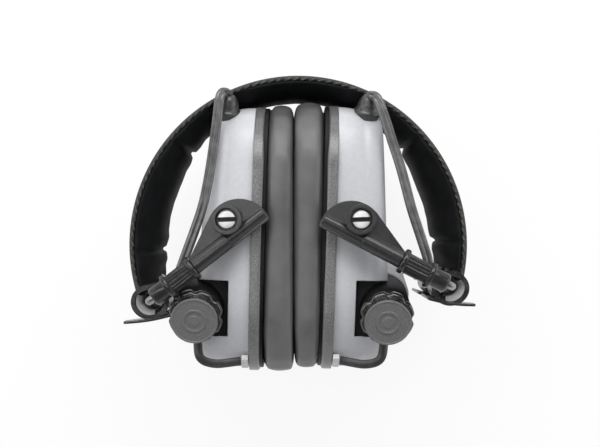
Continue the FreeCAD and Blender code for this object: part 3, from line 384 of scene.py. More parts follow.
for corner in pad.data.vertices:
    place = corner.co - band_centre
    radius, angle = math.hypot(place.x, place.y), math.atan2(place.y, place.x)
    if angle < right_end:
        angle += 2 * math.pi
    across = abs(place.z) / (pad_width / 2)
    inward = (pad_back - radius) / pad_wall
    back = spring_radius - 0.0010 + 0.0027 * eased((abs(place.z) - 0.0165) / 0.003)
    ends = near(angle, (right_end + pad_trim, left_end - pad_trim), 0.30)
    ripple = noise.noise(Vector((angle * 16, place.z * 70, 3.0))) * (0.25 + ends)
    full = 1 - across ** 2.6
    side = eased((abs(angle - math.pi / 2) - 0.72) / 0.45)
    depth = full * (pad_depth + side_bulge * side + 0.0006 * ripple
                    - end_dip * near(angle, (right_end, left_end), 0.27))
    depth += 0.0004 * near(angle, crease_lips, 0.045)
    depth -= (0.0003 + crease_dip * full) * near(angle, creases, 0.015)
    depth -= (boot_dip + 0.0008 * eased((place.z - 0.012) / 0.005)) * near(angle, boot_angles, 0.12)
    front = spring_radius + 0.0006 - depth
    reach = back + (front - back) * inward
    corner.co.x = band_centre.x + reach * math.cos(angle)
    corner.co.y = band_centre.y + reach * math.sin(angle)
    corner.co.z = band_centre.z + place.z * widening(corner.co.y)
pad_leather = leather("pad_leather", tone(17, 18, 19), tone(25, 26, 27), 0.0012, 0.2, 0.6)
pad_leather.node_tree.nodes["Principled BSDF"].inputs["Specular IOR Level"].default_value = 0.12
pad.data.materials.append(pad_leather)
settle(pad, "headband", "pad_leather", "headband_pad")

# ---- end loops ----
# At each end the leather is rolled round the spring's eye, and its free end sticks out as a flat tail.
# Each roll is in two halves, with room for the cable between them. Pale faces in its mouth are a painted
# highlight, standing for the shine of the glossy leather there.
wire_gap, roll_radius, roll_wall, roll_core, roll_growth = 0.0084, 0.0047, 0.0017, 0.0020, 0.0027
mouth_depth, mouth_flare, mouth_reach = 0.0030, 0.75, 0.0046
tail_thickness, tail_flare, tail_sag = 0.0011, 2.1, 0.0007


def walled(piece, thickness, edge_width, segments):
    """Gives a sheet its thickness, and rounds its edges."""
    wall = piece.modifiers.new("wall", "SOLIDIFY")
    wall.thickness, wall.offset = thickness, 0
    edge = piece.modifiers.new("edge", "BEVEL")
    edge.width, edge.segments, edge.limit_method = edge_width, segments, "ANGLE"
    for modifier in ("wall", "edge"):
        bpy.ops.object.modifier_apply(modifier=modifier)


def joined(pieces, degrees):
    """Joins pieces into the first of them, and smooths its shading."""
    pick(*pieces)
    bpy.ops.object.join()
    smooth_below(degrees)
    return pieces[0]


def rolled_end(hand, shift, widen, tail_start, tail_end):
    """Both halves of one rolled end, and their tails."""
    halves = []
    length = (end_width - wire_gap) / 2
    for face in (1, -1):
        pick()
        start = eyes[hand].copy()
        start.z += face * wire_gap / 2
        bpy.ops.mesh.primitive_circle_add(vertices=56, radius=roll_radius, location=start)
        roll = bpy.context.object
        bpy.ops.object.transform_apply(location=True)
        bpy.ops.object.mode_set(mode="EDIT")
        bpy.ops.mesh.select_all(action="SELECT")
        for _ring in range(6):
            bpy.ops.mesh.extrude_region_move(TRANSFORM_OT_translate={"value": (0, 0, face * length / 6)})
        bpy.ops.object.mode_set(mode="OBJECT")
        face_outwards()
        walled(roll, roll_wall, 0.0007, 4)
        for corner in roll.data.vertices:
            out = corner.co - eyes[hand]
            reach = math.hypot(out.x, out.y)
            grow = max(0.0, (reach - roll_core) / roll_growth)
            corner.co.x += grow * (out.x * widen + shift.x)
            corner.co.y += grow * shift.y
            corner.co.z += 0.0003 * noise.noise(corner.co * 300)
            mouth = max(0.0, mouth_depth - (length + wire_gap / 2 - abs(out.z))) * mouth_flare
            if face > 0 and reach < mouth_reach:
                corner.co.x += out.x / reach * mouth
                corner.co.y += out.y / reach * mouth
        halves.append(roll)
        pick()
        bpy.ops.mesh.primitive_grid_add(x_subdivisions=16, y_subdivisions=4, size=1)
        tail = bpy.context.object
        run = tail_end - tail_start
        for corner in tail.data.vertices:
            t = (corner.co.x + 0.5) * (1 if face > 0 else 0.55)
            sag = tail_sag * math.sin(math.pi * t)
            depth = length * (corner.co.y + 0.5)
            level = eyes[hand].z + face * (wire_gap / 2 + depth)
            flat = tail_start + run * t
            flare = (length - depth if face > 0 else length + depth) * t
            wide = 1 + tail_flare * flare
            corner.co = Vector((flat.x * wide, flat.y * wide - sag, level))
        face_outwards()
        walled(tail, tail_thickness, 0.0003, 2)
        halves.append(tail)
    loop = joined(halves, 45)
    loop.name = f"{hand}_rolled_end"
    loop.data.materials.append(roll_leather)
    loop.data.materials.append(roll_mouth_highlight)
    # painted highlight: faces inside the roll, on its lower outer half, get a pale finish for the leather's
    # shine there
    for face in loop.data.polygons:
        out = face.center - eyes[hand]
        lower_outer = out.x * shift.x > -0.0000004 and out.y < 0.0012
        inside = math.hypot(out.x, out.y) < 0.0068 and face.normal.dot(out.xy.to_3d()) < -0.0008
        if lower_outer and inside:
            face.material_index = 1
    settle(loop, "headband", "cover_leather", f"{hand}_end_loop")


roll_leather = leather("roll_leather", tone(28), tone(52), 0.0011, 0.3, 0.26, 0.004)
# painted highlight: a pale finish that stands for the shine inside the rolls' mouths
roll_mouth_highlight = leather("roll_mouth_highlight", tone(168), tone(196), 0.0014, 0.15, 0.45)
left_eye, right_eye = eyes["left"], eyes["right"]
rolled_end("left", Vector((-0.0017, -0.0013, 0)), 0.14,
           left_eye + Vector((0.0085, -0.0058, 0)), left_eye + Vector((-0.0118, -0.0092, 0)))
rolled_end("right", Vector((0.0014, -0.0016, 0)), 0.12,
           right_eye + Vector((-0.0070, -0.0056, 0)), right_eye + Vector((0.0110, -0.0080, 0)))

# ---- cable grommets ----
# A short rubber bush on each cross-bar, between the two halves of the rolled end.
# The cable ends in it, on its way into the band.
def both(*parts):
    """Names of these parts on both sides."""
    return [f"{hand}_{part}" for hand in hands for part in parts]


def moulded(name, dark, light, grain, roughness, lift=0.25, soft_edge=0.0003, low=0.35, high=0.65,
            shine=0.5):
    """Moulded plastic or rubber: a fine grain in tone and surface, and edges softened as by a mould."""
    finish, n, l, shader = new_finish(name)
    place = mottled(n, l, shader.inputs["Base Color"], dark, light, grain, low, high)
    shader.inputs["Roughness"].default_value = roughness
    shader.inputs["Specular IOR Level"].default_value = shine
    fine = n.new("ShaderNodeTexNoise")
    fine.inputs["Scale"].default_value = 1 / min(grain, 0.0006)
    fine.inputs["Detail"].default_value = 2
    l.new(place.outputs["Object"], fine.inputs["Vector"])
    edges = n.new("ShaderNodeBevel")
    edges.samples = 6
    edges.inputs["Radius"].default_value = soft_edge
    raised(n, l, shader, fine.outputs["Fac"], lift, 0.0001, edges.outputs["Normal"])
    return finish


dress(moulded("grommet_rubber", tone(30), tone(46), 0.002, 0.6), *both("cable_grommet"))

# ---- wire forks ----
# Each is one piece of 3 mm polished steel wire, bent square: a cross-bar in the eye and two legs.
# The legs slide in the grips and brackets, so the cups can be set higher or lower.
dress(drawn_metal("fork_steel", tone(116), tone(156), 0.3), *both("fork"))

# ---- adjusters and brackets ----
# Moulded nylon: ribbed grips on the legs, and fan-shaped brackets that carry the cups' pivot screws.
# The brackets have a fine matt grain and the grips a satin polish.
grip_nylon = moulded("grip_nylon", tone(30), tone(42), 0.0016, 0.2, 0.1, 0.0002)
folds = {"left": math.radians(37.7), "right": math.radians(27.6)}
leg_out, rib_count, ribs_from, ribs_to, rib_low, rib_rise = 0.0445, 18, 0.0106, 0.0194, 0.93, 0.12


def drawn_up(name, outline, sides=40):
    """A round piece drawn up ring by ring on the Z axis, from (height, radius) pairs."""
    height, radius = outline[0]
    pick()
    bpy.ops.mesh.primitive_circle_add(vertices=sides, radius=radius, fill_type="NGON",
                                      location=(0, 0, height))
    piece = bpy.context.object
    piece.name = name
    bpy.ops.object.transform_apply(location=True)
    bpy.ops.object.mode_set(mode="EDIT")
    bpy.ops.mesh.select_all(action="SELECT")
    for level, wide in outline[1:]:
        bpy.ops.mesh.extrude_region_move(TRANSFORM_OT_translate={"value": (0, 0, level - height)})
        bpy.ops.transform.resize(value=(wide / radius, wide / radius, 1))
        height, radius = level, wide
    bpy.ops.object.mode_set(mode="OBJECT")
    face_outwards()
    return piece


def leg_place(hand):
    """Frame of a fork's leg: X along it from the eye, Y across it towards the pivot, Z to the front."""
    side, fold = hands[hand], folds[hand]
    along = Vector((-side * math.cos(fold), math.sin(fold), 0))
    across = Vector((side * math.sin(fold), math.cos(fold), 0))
    turn = Matrix((along, across, (0, 0, 1))).transposed().to_4x4()
    return Matrix.Translation((eyes[hand].x, eyes[hand].y, middle_of("left_pivot_screws").z)) @ turn


grip_outline = [(0.0023, 0.0017), (0.0023, 0.0030), (0.0027, 0.0035), (0.0034, 0.0038), (0.0082, 0.0038),
                (0.0085, 0.0040), (0.0085, 0.0047), (0.0088, 0.0051), (0.0091, 0.0052), (0.0099, 0.0052),
                (0.0102, 0.0051), (0.0105, 0.0047), (0.0105, 0.0036), (0.0108, 0.0036), (0.0150, 0.0036),
                (0.0192, 0.0036), (0.0195, 0.0037), (0.0195, 0.0044), (0.0198, 0.0047), (0.0201, 0.0048),
                (0.0209, 0.0048), (0.0212, 0.0047), (0.0215, 0.0044), (0.0215, 0.0017)]
for hand in hands:
    for end, face in (("front", 1), ("rear", -1)):
        grip = drawn_up(f"{hand}_{end}_grip", grip_outline, 108)
        for corner in grip.data.vertices:
            ridge = max(0.0, math.cos(rib_count * math.atan2(corner.co.y, corner.co.x))) ** 0.6
            if ribs_from < corner.co.z < ribs_to and math.hypot(corner.co.x, corner.co.y) > 0.003:
                corner.co.x *= rib_low + rib_rise * ridge
                corner.co.y *= rib_low + rib_rise * ridge
        grip.data.transform(leg_place(hand) @ Matrix.Translation((0, 0, face * leg_out))
                            @ Matrix.Rotation(math.pi / 2, 4, "Y"))
        smooth_below(32)
        grip.data.materials.append(grip_nylon)
        settle(grip, f"{hand}_slider", "adjuster_black", f"{hand}_{end}_adjuster")

dress(moulded("bracket_nylon", tone(30), tone(46), 0.0005, 0.28, 0.4, 0.0005, 0.42, 0.6, 0.6),
      *both("front_bracket", "rear_bracket"))

# ---- cup shells ----
# One deep moulding of light grey satin plastic for each cup, open towards the ear, with a rounded back.
# It has posts for the pivot screws, and three holes for buttons in the right one.
cup_lean, pivot_height = math.radians(1.6), 0.0073
pivots = {hand: middle_of(f"{hand}_pivot_screws") for hand in hands}
cup_middle = (pivots["left"] + pivots["right"]) / 2 - Vector((0, pivot_height, 0))


def cup_place(hand):
    """Place of a cup's frame: its origin is between the cushions, and it leans about its own pivot."""
    pivot = pivots[hand]
    lean = Matrix.Translation(pivot) @ Matrix.Rotation(-cup_lean, 4, "Z") @ Matrix.Translation(-pivot)
    return lean @ Matrix.Translation(cup_middle)


def cup_point(hand, out, up, front):
    """Place of a point given in metres out from the middle plane, up and to the front."""
    return cup_place(hand) @ Vector((hands[hand] * out, up, front))


shell_grey = moulded("shell_grey", tone(187, 188, 191), tone(192, 193, 196), 0.0016, 0.34, 0.06, 0.0008)
battery_lean = math.radians(15)
battery_mouth = Vector((0.0360, -0.0286, 0.0366))
rim_back, shell_wall = 0.0161, 0.0022
shell_half_height, shell_half_depth, shell_corner, back_bulge = 0.0522, 0.0372, 0.026, 0.0009
shell_depth, side_draft, shoulder, shell_tilt = 0.0200, 0.0034, 0.0085, math.radians(3.2)


def shell_level(run):
    """Distance out and inset of the shell's outline, as run goes from its open edge to its back's middle."""
    side = shell_depth - shoulder
    if run < 0.5:
        return side * run * 2, side_draft * (run * 2) ** 2
    turn = (run - 0.5) * math.pi
    return side + shoulder * math.sin(turn), side_draft + shoulder * (1 - math.cos(turn))


def oval(angle, half_height, half_depth, corner):
    """Point of an upright rounded oblong, squarer at its top, at an angle round it."""
    up, front = math.cos(angle), math.sin(angle)
    power = 2 + 2.6 * min(1.0, (half_height - corner) / half_height) * (1.6 + 0.6 * math.tanh(4 * up))
    reach = (abs(up) ** power + abs(front) ** power) ** (-1 / power)
    return up * reach * half_height, front * reach * half_depth


def battery_place(hand):
    """Frame of a battery housing: its origin is in the middle of the mouth, and Z points out of it."""
    seat = Matrix.Translation((hands[hand] * battery_mouth.x, *battery_mouth.yz))
    return cup_place(hand) @ seat @ Matrix.Rotation(battery_lean, 4, "X")


def cut_away(piece, tool):
    """Cuts one closed shape out of another, and clears the tool away."""
    hole = piece.modifiers.new("hole", "BOOLEAN")
    hole.object, hole.operation = tool, "DIFFERENCE"
    pick(piece)
    bpy.ops.object.modifier_apply(modifier="hole")
    bpy.data.objects.remove(tool)


def block(low, high, place, side=1):
    """A plain block between two corners, set at a place: a tool, or the start of a piece."""
    pick()
    bpy.ops.mesh.primitive_cube_add(size=1)
    piece = bpy.context.object
    size = [b - a for a, b in zip(low, high)]
    middle = Vector([(b + a) / 2 for a, b in zip(low, high)])
    middle.x *= side
    piece.data.transform(place @ Matrix.Translation(middle) @ Matrix.Diagonal((*size, 1)))
    return piece


recess_low, recess_high = (0.0243, -0.0376, 0.0290), (0.0520, -0.0160, 0.0480)
button_hole, bore_radius = 0.0043, 0.0100
shell_rings = [(step / 24, 1.0) for step in range(25)] + [(1.01, 0.75), (1.02, 0.5), (1.03, 0.2)]
swelling_outline = [(-0.0500, 0.0060), (-0.0492, 0.0080), (-0.0470, 0.0096), (-0.0440, 0.0104),
                    (-0.0226, 0.0106), (-0.0222, 0.0103), (-0.0222, 0.0090)]
post_outline = [(0.0290, 0.0062), (0.0330, 0.0054), (0.0360, 0.0050), (0.0414, 0.0050), (0.0418, 0.0046)]
front_and_rear = [Matrix.Identity(4), Matrix.Rotation(math.pi, 4, "X")]
for hand, side in hands.items():
    shell = drawn_up(f"{hand}_shell", shell_rings, 96)
    place_in = cup_place(hand)
    for corner in shell.data.vertices:
        angle = math.atan2(corner.co.y, corner.co.x)
        inner = min(1.0, math.hypot(corner.co.x, corner.co.y))
        out, inset = shell_level(min(corner.co.z, 1.0))
        up, front = oval(angle, shell_half_height - inset * 0.42, shell_half_depth - inset * 0.9,
                         shell_corner - inset)
        up, front = up * inner, front * inner
        out += back_bulge * (1 - inner ** 2)
        out -= out / shell_depth * math.tan(shell_tilt) * up
        corner.co = place_in @ Vector((side * (rim_back + out), up, front))
    face_outwards()
    # the many-sided face at the rim goes, and leaves the shell open towards the ear
    bpy.ops.object.mode_set(mode="EDIT")
    bpy.ops.mesh.select_all(action="DESELECT")
    bpy.ops.object.mode_set(mode="OBJECT")
    near_rim = [face for face in shell.data.polygons
                if abs((place_in.inverted() @ face.center).x) < rim_back + 0.001]
    max(near_rim, key=lambda face: len(face.vertices)).select = True
    bpy.ops.object.mode_set(mode="EDIT")
    bpy.ops.mesh.select_mode(type="FACE")
    bpy.ops.mesh.delete(type="ONLY_FACE")
    bpy.ops.mesh.select_mode(type="VERT")
    bpy.ops.object.mode_set(mode="OBJECT")
    wall = shell.modifiers.new("wall", "SOLIDIFY")
    wall.thickness, wall.offset = shell_wall, -1
    bpy.ops.object.modifier_apply(modifier="wall")
    if hand == "right":
        for button in ("volume_down", "power", "volume_up"):
            centre = middle_of(f"right_{button}_button")
            pick()
            bpy.ops.mesh.primitive_cylinder_add(vertices=40, radius=button_hole, depth=0.016)
            punch = bpy.context.object
            punch.data.transform(Matrix.Translation(centre) @ Matrix.Rotation(-cup_lean, 4, "Z")
                                 @ Matrix.Rotation(shell_tilt, 4, "Z")
                                 @ Matrix.Rotation(math.pi / 2, 4, "Y"))
            cut_away(shell, punch)
    cut_away(shell, block(recess_low, recess_high, place_in, side))
    bore = drawn_up("bore", [(-0.0222, bore_radius), (0.0120, bore_radius)], 64)
    bore.data.transform(battery_place(hand))
    cut_away(shell, bore)
    swelling = drawn_up("swelling", swelling_outline, 64)
    swelling.data.transform(battery_place(hand))
    posts = []
    for turn in front_and_rear:
        post = drawn_up(f"{hand}_post", post_outline)
        post.data.transform(Matrix.Translation(pivots[hand]) @ turn)
        posts.append(post)
    joined([shell, swelling] + posts, 40)
    shell.data.materials.clear()
    shell.data.materials.append(shell_grey)
    settle(shell, f"{hand}_cup", "shell_grey", f"{hand}_cup_shell")

# ---- rim plates ----
# A thick plate of sparkling dark plastic closes each shell and carries the speaker and the cushion.
# It is one moulding with a rounded edge, and lies against the shell's open edge.
dress(moulded("rim_plastic", tone(76), tone(136), 0.0003, 0.32, 0.4, 0.0006, 0.40, 0.72, 0.8),
      *both("rim_plate"))

# ---- foams ----
# Open-celled black foam: a thin sheet over the speaker, a pad inside the shell, a cover on the microphone.
# Each is cut to shape and held by the parts round it.
def foam(name, dark, light, cell):
    """Open-celled foam: a dull surface, pitted with cells."""
    finish, n, l, shader = new_finish(name)
    place = mottled(n, l, shader.inputs["Base Color"], dark, light, cell * 3)
    shader.inputs["Roughness"].default_value = 0.95
    cells = n.new("ShaderNodeTexVoronoi")
    cells.inputs["Scale"].default_value = 1 / cell
    l.new(place.outputs["Object"], cells.inputs["Vector"])
    raised(n, l, shader, cells.outputs["Distance"], 0.9, 0.0004)
    return finish


dress(foam("open_foam", tone(22), tone(52), 0.0009), *both("ear_foam", "sound_foam", "microphone_cover"))

# ---- speakers, boards and microphones ----
# Each cup holds a moulded speaker with its magnet, a green circuit board with soldered pads,
# and a microphone in a small metal can. The shell and the rim plate hide them all.
dress(moulded("speaker_plastic", tone(54), tone(84), 0.003, 0.5), *both("speaker"))
dress(moulded("board_green", tone(22, 76, 48), tone(40, 116, 70), 0.0024, 0.35, 0.3, 0.0002, 0.46, 0.54),
      *both("circuit_board"))
dress(drawn_metal("microphone_can", tone(150), tone(190), 0.3), *both("microphone"))

# ---- batteries and housings ----
# A plain wrapped cell of AAA size lies in each black moulded tube, against a sprung brass contact.
# The tube leans inside the shell's swelling, and a block beside its mouth floors the recess in the shell.
dress(moulded("cell_wrap", tone(66, 76, 96), tone(84, 96, 120), 0.02, 0.28, 0.05), *both("battery"))
dress(drawn_metal("contact_brass", tone(176, 148, 84), tone(206, 182, 120), 0.3), *both("battery_contact"))
housing_plastic = moulded("housing_plastic", tone(14), tone(22), 0.0012, 0.5, 0.15, 0.0004, shine=0.2)
tube = [(-0.0500, 0.0060), (-0.0490, 0.0083), (-0.0240, 0.0083), (-0.0232, 0.0090), (-0.0222, 0.0094),
        (-0.0205, 0.0098), (-0.0060, 0.0098), (-0.0030, 0.0096), (-0.0012, 0.0090), (-0.0004, 0.0078)]
floor_low, floor_high = (0.0241, -0.0378, 0.0200), (0.0345, -0.0158, 0.0304)
for hand, side in hands.items():
    housing = drawn_up(f"{hand}_housing", tube, 64)
    housing.data.transform(battery_place(hand))
    floor = block(floor_low, floor_high, cup_place(hand), side)
    bpy.ops.object.mode_set(mode="EDIT")
    bpy.ops.mesh.select_all(action="SELECT")
    bpy.ops.mesh.normals_make_consistent(inside=False)
    bpy.ops.mesh.bevel(offset=0.0003, segments=3, affect="EDGES")
    bpy.ops.object.mode_set(mode="OBJECT")
    joined([housing, floor], 40)
    housing.data.materials.append(housing_plastic)
    settle(housing, f"{hand}_cup", "housing_black", f"{hand}_battery_housing")

# ---- battery caps ----
# Black soft-touch knobs with finger hollows round the collar; they unscrew to let the cell out.
# The face is finely grained, with a plain raised ring in its middle.
cap_black = moulded("cap_black", tone(26), tone(34), 0.001, 0.16, 0.05, 0.0003, shine=0.9)
cap_face = moulded("cap_face", tone(88), tone(108), 0.0004, 0.4, 0.55, 0.0002)
collar = [(-0.0020, 0.0050), (0.0003, 0.0052), (0.0003, 0.0095), (0.0007, 0.0101), (0.0020, 0.0103),
          (0.0036, 0.0103), (0.0041, 0.0100), (0.0044, 0.0094), (0.0044, 0.0089), (0.0076, 0.0086)]
disc = [(0.0076, 0.0040), (0.0076, 0.0087), (0.0080, 0.00885), (0.0084, 0.0088), (0.0087, 0.0085),
        (0.0087, 0.0081), (0.0085, 0.0079), (0.0085, 0.0046), (0.0088, 0.0044), (0.0088, 0.0037),
        (0.0085, 0.0035), (0.0085, 0.0022), (0.0087, 0.0020), (0.0087, 0.0006)]
finger_hollows, hollow_depth, collar_from, collar_to, collar_inside = 8, 0.095, 0.0002, 0.0045, 0.0088
for hand in hands:
    knob = drawn_up(f"{hand}_knob", collar, 96)
    for corner in knob.data.vertices:
        hollow = max(0.0, math.cos(finger_hollows * math.atan2(corner.co.y, corner.co.x))) ** 1.5
        if collar_from < corner.co.z < collar_to and math.hypot(corner.co.x, corner.co.y) > collar_inside:
            corner.co.x *= 1 - hollow_depth * hollow
            corner.co.y *= 1 - hollow_depth * hollow
    knob.data.materials.append(cap_black)
    face = drawn_up(f"{hand}_knob_face", disc, 72)
    face.data.materials.append(cap_face)
    for part in (knob, face):
        part.data.transform(battery_place(hand))
    joined([knob, face], 45)
    settle(knob, f"{hand}_battery_cap", "cap_black", f"{hand}_battery_cap")

# ---- push buttons ----
# Three moulded rubber buttons in a row on the right cup's outer face: volume down, power, volume up.
# Each sits in a round hole of the shell and is pressed in by a fraction of a millimetre.
dress(moulded("button_rubber", tone(40), tone(58), 0.0012, 0.62),
      "right_volume_down_button", "right_power_button", "right_volume_up_button")

# ---- pivot screws ----
# Turned steel shoulder screws with a wide slot, screwed into the posts of the shells.
# They pass through the brackets, and the cups swing on them.
screw_steel = drawn_metal("screw_steel", tone(212), tone(238), 0.42)
screw_steel.node_tree.nodes["Principled BSDF"].inputs["Metallic"].default_value = 0.35
# painted shade: a dark finish for the screws' slots, also given to the head's side and the shank
screw_slot_shade, n, l, shader = new_finish("screw_slot_shade")
mottled(n, l, shader.inputs["Base Color"], tone(14), tone(26), 0.001)
shader.inputs["Roughness"].default_value = 0.5
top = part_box("left_pivot_screws")[1].z - middle_of("left_pivot_screws").z
slot_depth, slot_half_width = 0.0012, 0.00086
screw_outline = [(top - 0.0140, 0.0018), (top - 0.0062, 0.0019), (top - 0.0062, 0.0024),
                 (top - 0.0022, 0.0025), (top - 0.0022, 0.0034), (top - 0.0006, 0.0034),
                 (top - 0.0002, 0.0032), (top, 0.0026), (top + 0.0001, 0.0012), (top + 0.0001, 0.0003)]
for hand in hands:
    screws = []
    for turn in front_and_rear:
        screw = drawn_up("screw", screw_outline, 64)
        screw.data.materials.append(screw_steel)
        screw.data.materials.append(screw_slot_shade)
        cut_away(screw, block((-0.01, -slot_half_width, top - slot_depth),
                              (0.01, slot_half_width, top + 0.01),
                              Matrix.Rotation(math.radians(2), 4, "Z")))
        # painted shade: the slot's floor and walls are dark as shade falls in them, and so are the head's
        # side and the shank below
        for face in screw.data.polygons:
            out = math.hypot(face.center.x, face.center.y)
            if face.center.z < top - 0.0007 or (abs(face.normal.y) > 0.9 and out < 0.0033):
                face.material_index = 1
        screw.data.transform(Matrix.Translation(pivots[hand]) @ turn)
        screws.append(screw)
    joined(screws, 30)
    screws[0].name = f"{hand}_screws"
    settle(screws[0], f"{hand}_cup", "screw_steel", f"{hand}_pivot_screws")

# ---- strap keepers ----
# Small tabs of pale grey moulded plastic on the shells' edges, below the battery caps.
# Each holds the end of a tether strap.
dress(moulded("keeper_plastic", tone(200), tone(222), 0.0016, 0.45), *both("strap_keeper"))

# ---- ear cushions ----
# Foam rings in smooth dark grey artificial leather, pressed against each other as the earmuff is folded.
# Each is clipped to its rim plate, and a sewn seam runs round it near the plate.
def merged_copy(node, name):
    """A copy of a CAD node's mesh, its loose triangles joined."""
    copy = in_scene(name, nodes[node].data.copy())
    pick(copy)
    bpy.ops.object.mode_set(mode="EDIT")
    bpy.ops.mesh.select_all(action="SELECT")
    bpy.ops.mesh.remove_doubles(threshold=1e-6)
    bpy.ops.object.mode_set(mode="OBJECT")
    return copy


def stuffed(piece, pressure, most, voxel):
    """Fills a shape out as stuffing does: a short cloth simulation under pressure, its movement capped."""
    piece.data.remesh_voxel_size = voxel
    bpy.ops.object.voxel_remesh()
    before = [corner.co.copy() for corner in piece.data.vertices]
    stuffing = piece.modifiers.new("stuffing", "CLOTH")
    stuffing.settings.use_pressure = True
    stuffing.settings.uniform_pressure_force = pressure
    stuffing.settings.effector_weights.gravity = 0
    for step in range(1, 21):
        bpy.context.scene.frame_set(step)
    bpy.ops.object.modifier_apply(modifier="stuffing")
    bpy.context.scene.frame_set(1)
    for corner, start in zip(piece.data.vertices, before):
        moved = corner.co - start
        if moved.length > most:
            corner.co = start + moved * (most / moved.length)


cushion_leather = leather("cushion_leather", tone(80), tone(98), 0.0009, 0.12, 0.42, 0.02)
cushion_half_height, cushion_half_depth, cushion_up, squareness = 0.0532, 0.0395, 0.0006, 0.056
pressed, leather_edge, seam_at, seam_spread = 0.0006, 0.0117, 0.0101, 0.0006
shade_plate_low, shade_plate_high = 0.0109, 0.0123
shade_plate_half_height, shade_plate_half_depth, shade_plate_corner = 0.0521, 0.0386, 0.0265
for hand, side in hands.items():
    cushion = merged_copy(f"{hand}_ear_cushion", f"{hand}_cushion")
    bpy.ops.object.mode_set(mode="EDIT")
    bpy.ops.mesh.select_all(action="SELECT")
    bpy.ops.transform.shrink_fatten(value=-0.0009)
    bpy.ops.object.mode_set(mode="OBJECT")
    stuffed(cushion, pressure=4.0, most=0.006, voxel=0.0040)
    smooth = cushion.modifiers.new("smooth", "SUBSURF")
    smooth.levels = smooth.render_levels = 1
    bpy.ops.object.modifier_apply(modifier="smooth")
    from_cup = cup_place(hand)
    to_cup = from_cup.inverted()
    places = [to_cup @ corner.co for corner in cushion.data.vertices]
    outs = [side * place.x for place in places]
    tall, deep = max(place.y for place in places), max(place.z for place in places)
    for corner, place in zip(cushion.data.vertices, places):
        share = (side * place.x - min(outs)) / (max(outs) - min(outs))
        square = 1 + squareness * (2 * share - 1) ** 4
        up, front = place.y * cushion_half_height / tall, place.z * cushion_half_depth / deep
        outer = eased((math.hypot(up / cushion_half_height, front / cushion_half_depth) - 0.75) / 0.1)
        square = 1 + (square - 1) * outer
        up, front = up * square + cushion_up, front * square
        touch = (cup_middle.x - 0.0002 + side * 0.00003 - (from_cup @ Vector((0, up, front))).x) * side
        out = touch - pressed + share * (shade_plate_high - touch)
        seam = math.exp(-((out - seam_at) / seam_spread) ** 2) * outer
        up *= 1 - 0.018 * seam
        front *= 1 - 0.024 * seam
        out = min(max(out, touch), leather_edge)
        corner.co = from_cup @ Vector((side * out, up, front))
    cushion.data.materials.clear()
    cushion.data.materials.append(cushion_leather)
    # painted shade: a black plate just behind the cushion's edge, so the gap between rim plate and cushion
    # reads dark where shade falls in it
    plate = drawn_up(f"{hand}_cushion_shade_plate", [(shade_plate_low, 1.0), (shade_plate_high, 1.0)], 96)
    for corner in plate.data.vertices:
        angle = math.atan2(corner.co.y, corner.co.x)
        up, front = oval(angle, shade_plate_half_height, shade_plate_half_depth, shade_plate_corner)
        corner.co = from_cup @ Vector((side * corner.co.z, up, front))
    face_outwards()
    plate.data.materials.append(housing_plastic)
    joined([cushion, plate], 60)
    settle(cushion, f"{hand}_cup", "cushion_grey", f"{hand}_ear_cushion")

# ---- cable boots ----
# A bell of soft rubber on each shell's top corner, leaning forward, with a wide foot and a thin neck.
# It keeps the cable from kinking where it leaves the cup.
rubber = moulded("boot_rubber", tone(46), tone(62), 0.0014, 0.32, 0.15, 0.0002, shine=0.7)
boot_foot = Vector((0.0274, 0.0495, 0.0256))
boot_line = Vector((0.12, 0.90, 0.42)).normalized()
bell = [(-0.0040, 0.0044), (-0.0006, 0.0048), (-0.0004, 0.0052), (0.0004, 0.0053), (0.0009, 0.0050),
        (0.0012, 0.0045), (0.0026, 0.0043), (0.0040, 0.0039), (0.0052, 0.0034), (0.0061, 0.0028),
        (0.0067, 0.0021), (0.0070, 0.0014), (0.0071, 0.0008)]


def boot_point(hand, height):
    """Place on a boot's axis, at a height above its foot."""
    return cup_place(hand) @ (Vector((hands[hand] * boot_foot.x, *boot_foot.yz)) + boot_line * height)


for hand, side in hands.items():
    boot = drawn_up(f"{hand}_boot", bell)
    turn = boot_line.to_track_quat("Z", "Y").to_matrix().to_4x4()
    boot.data.transform(cup_place(hand) @ Matrix.Translation((side * boot_foot.x, *boot_foot.yz)) @ turn)
    smooth_below(60)
    boot.data.materials.append(rubber)
    settle(boot, f"{hand}_cup", "rubber_black", f"{hand}_cable_boot")

# ---- cables ----
# A flat twin lead joins each cup to the band: out of the boot, over the cup and down past the grip,
# then behind it to the grommet. It has a groove between its two cores.
lead_width, lead_thickness = 0.0038, 0.0020
cord_rubber = moulded("lead_rubber", tone(68), tone(90), 0.004, 0.24, 0.08, 0.0001, shine=0.8)


def outline_curve(name, corners):
    """A closed flat outline, for a lead's or a strap's section."""
    outline = bpy.data.curves.new(name, "CURVE")
    outline.dimensions = "2D"
    loop = outline.splines.new("POLY")
    loop.points.add(len(corners) - 1)
    for point, (across, up) in zip(loop.points, corners):
        point.co = (across, up, 0, 1)
    loop.use_cyclic_u = True
    return in_scene(name, outline)


def follow(name, route, section, twist):
    """A tube of a given section along the smooth line through a route, and that line's own points."""
    line = bpy.data.curves.new(name, "CURVE")
    line.dimensions = "3D"
    line.resolution_u = 10
    line.twist_mode = twist
    spline = line.splines.new("NURBS")
    spline.points.add(len(route) - 1)
    for point, place in zip(spline.points, route):
        point.co = (*place, 1)
    spline.order_u = 3
    spline.use_endpoint_u = True
    holder = in_scene(name, line)
    bare = bpy.data.meshes.new_from_object(holder)
    path = [corner.co.copy() for corner in bare.vertices]
    line.bevel_mode = "OBJECT"
    line.bevel_object = section
    line.use_fill_caps = True
    bpy.context.view_layer.update()
    body = bpy.data.meshes.new_from_object(holder.evaluated_get(bpy.context.evaluated_depsgraph_get()))
    bpy.data.objects.remove(holder)
    tube = in_scene(name, body)
    pick(tube)
    face_outwards(merge=True)
    smooth_below(75)
    return tube, path


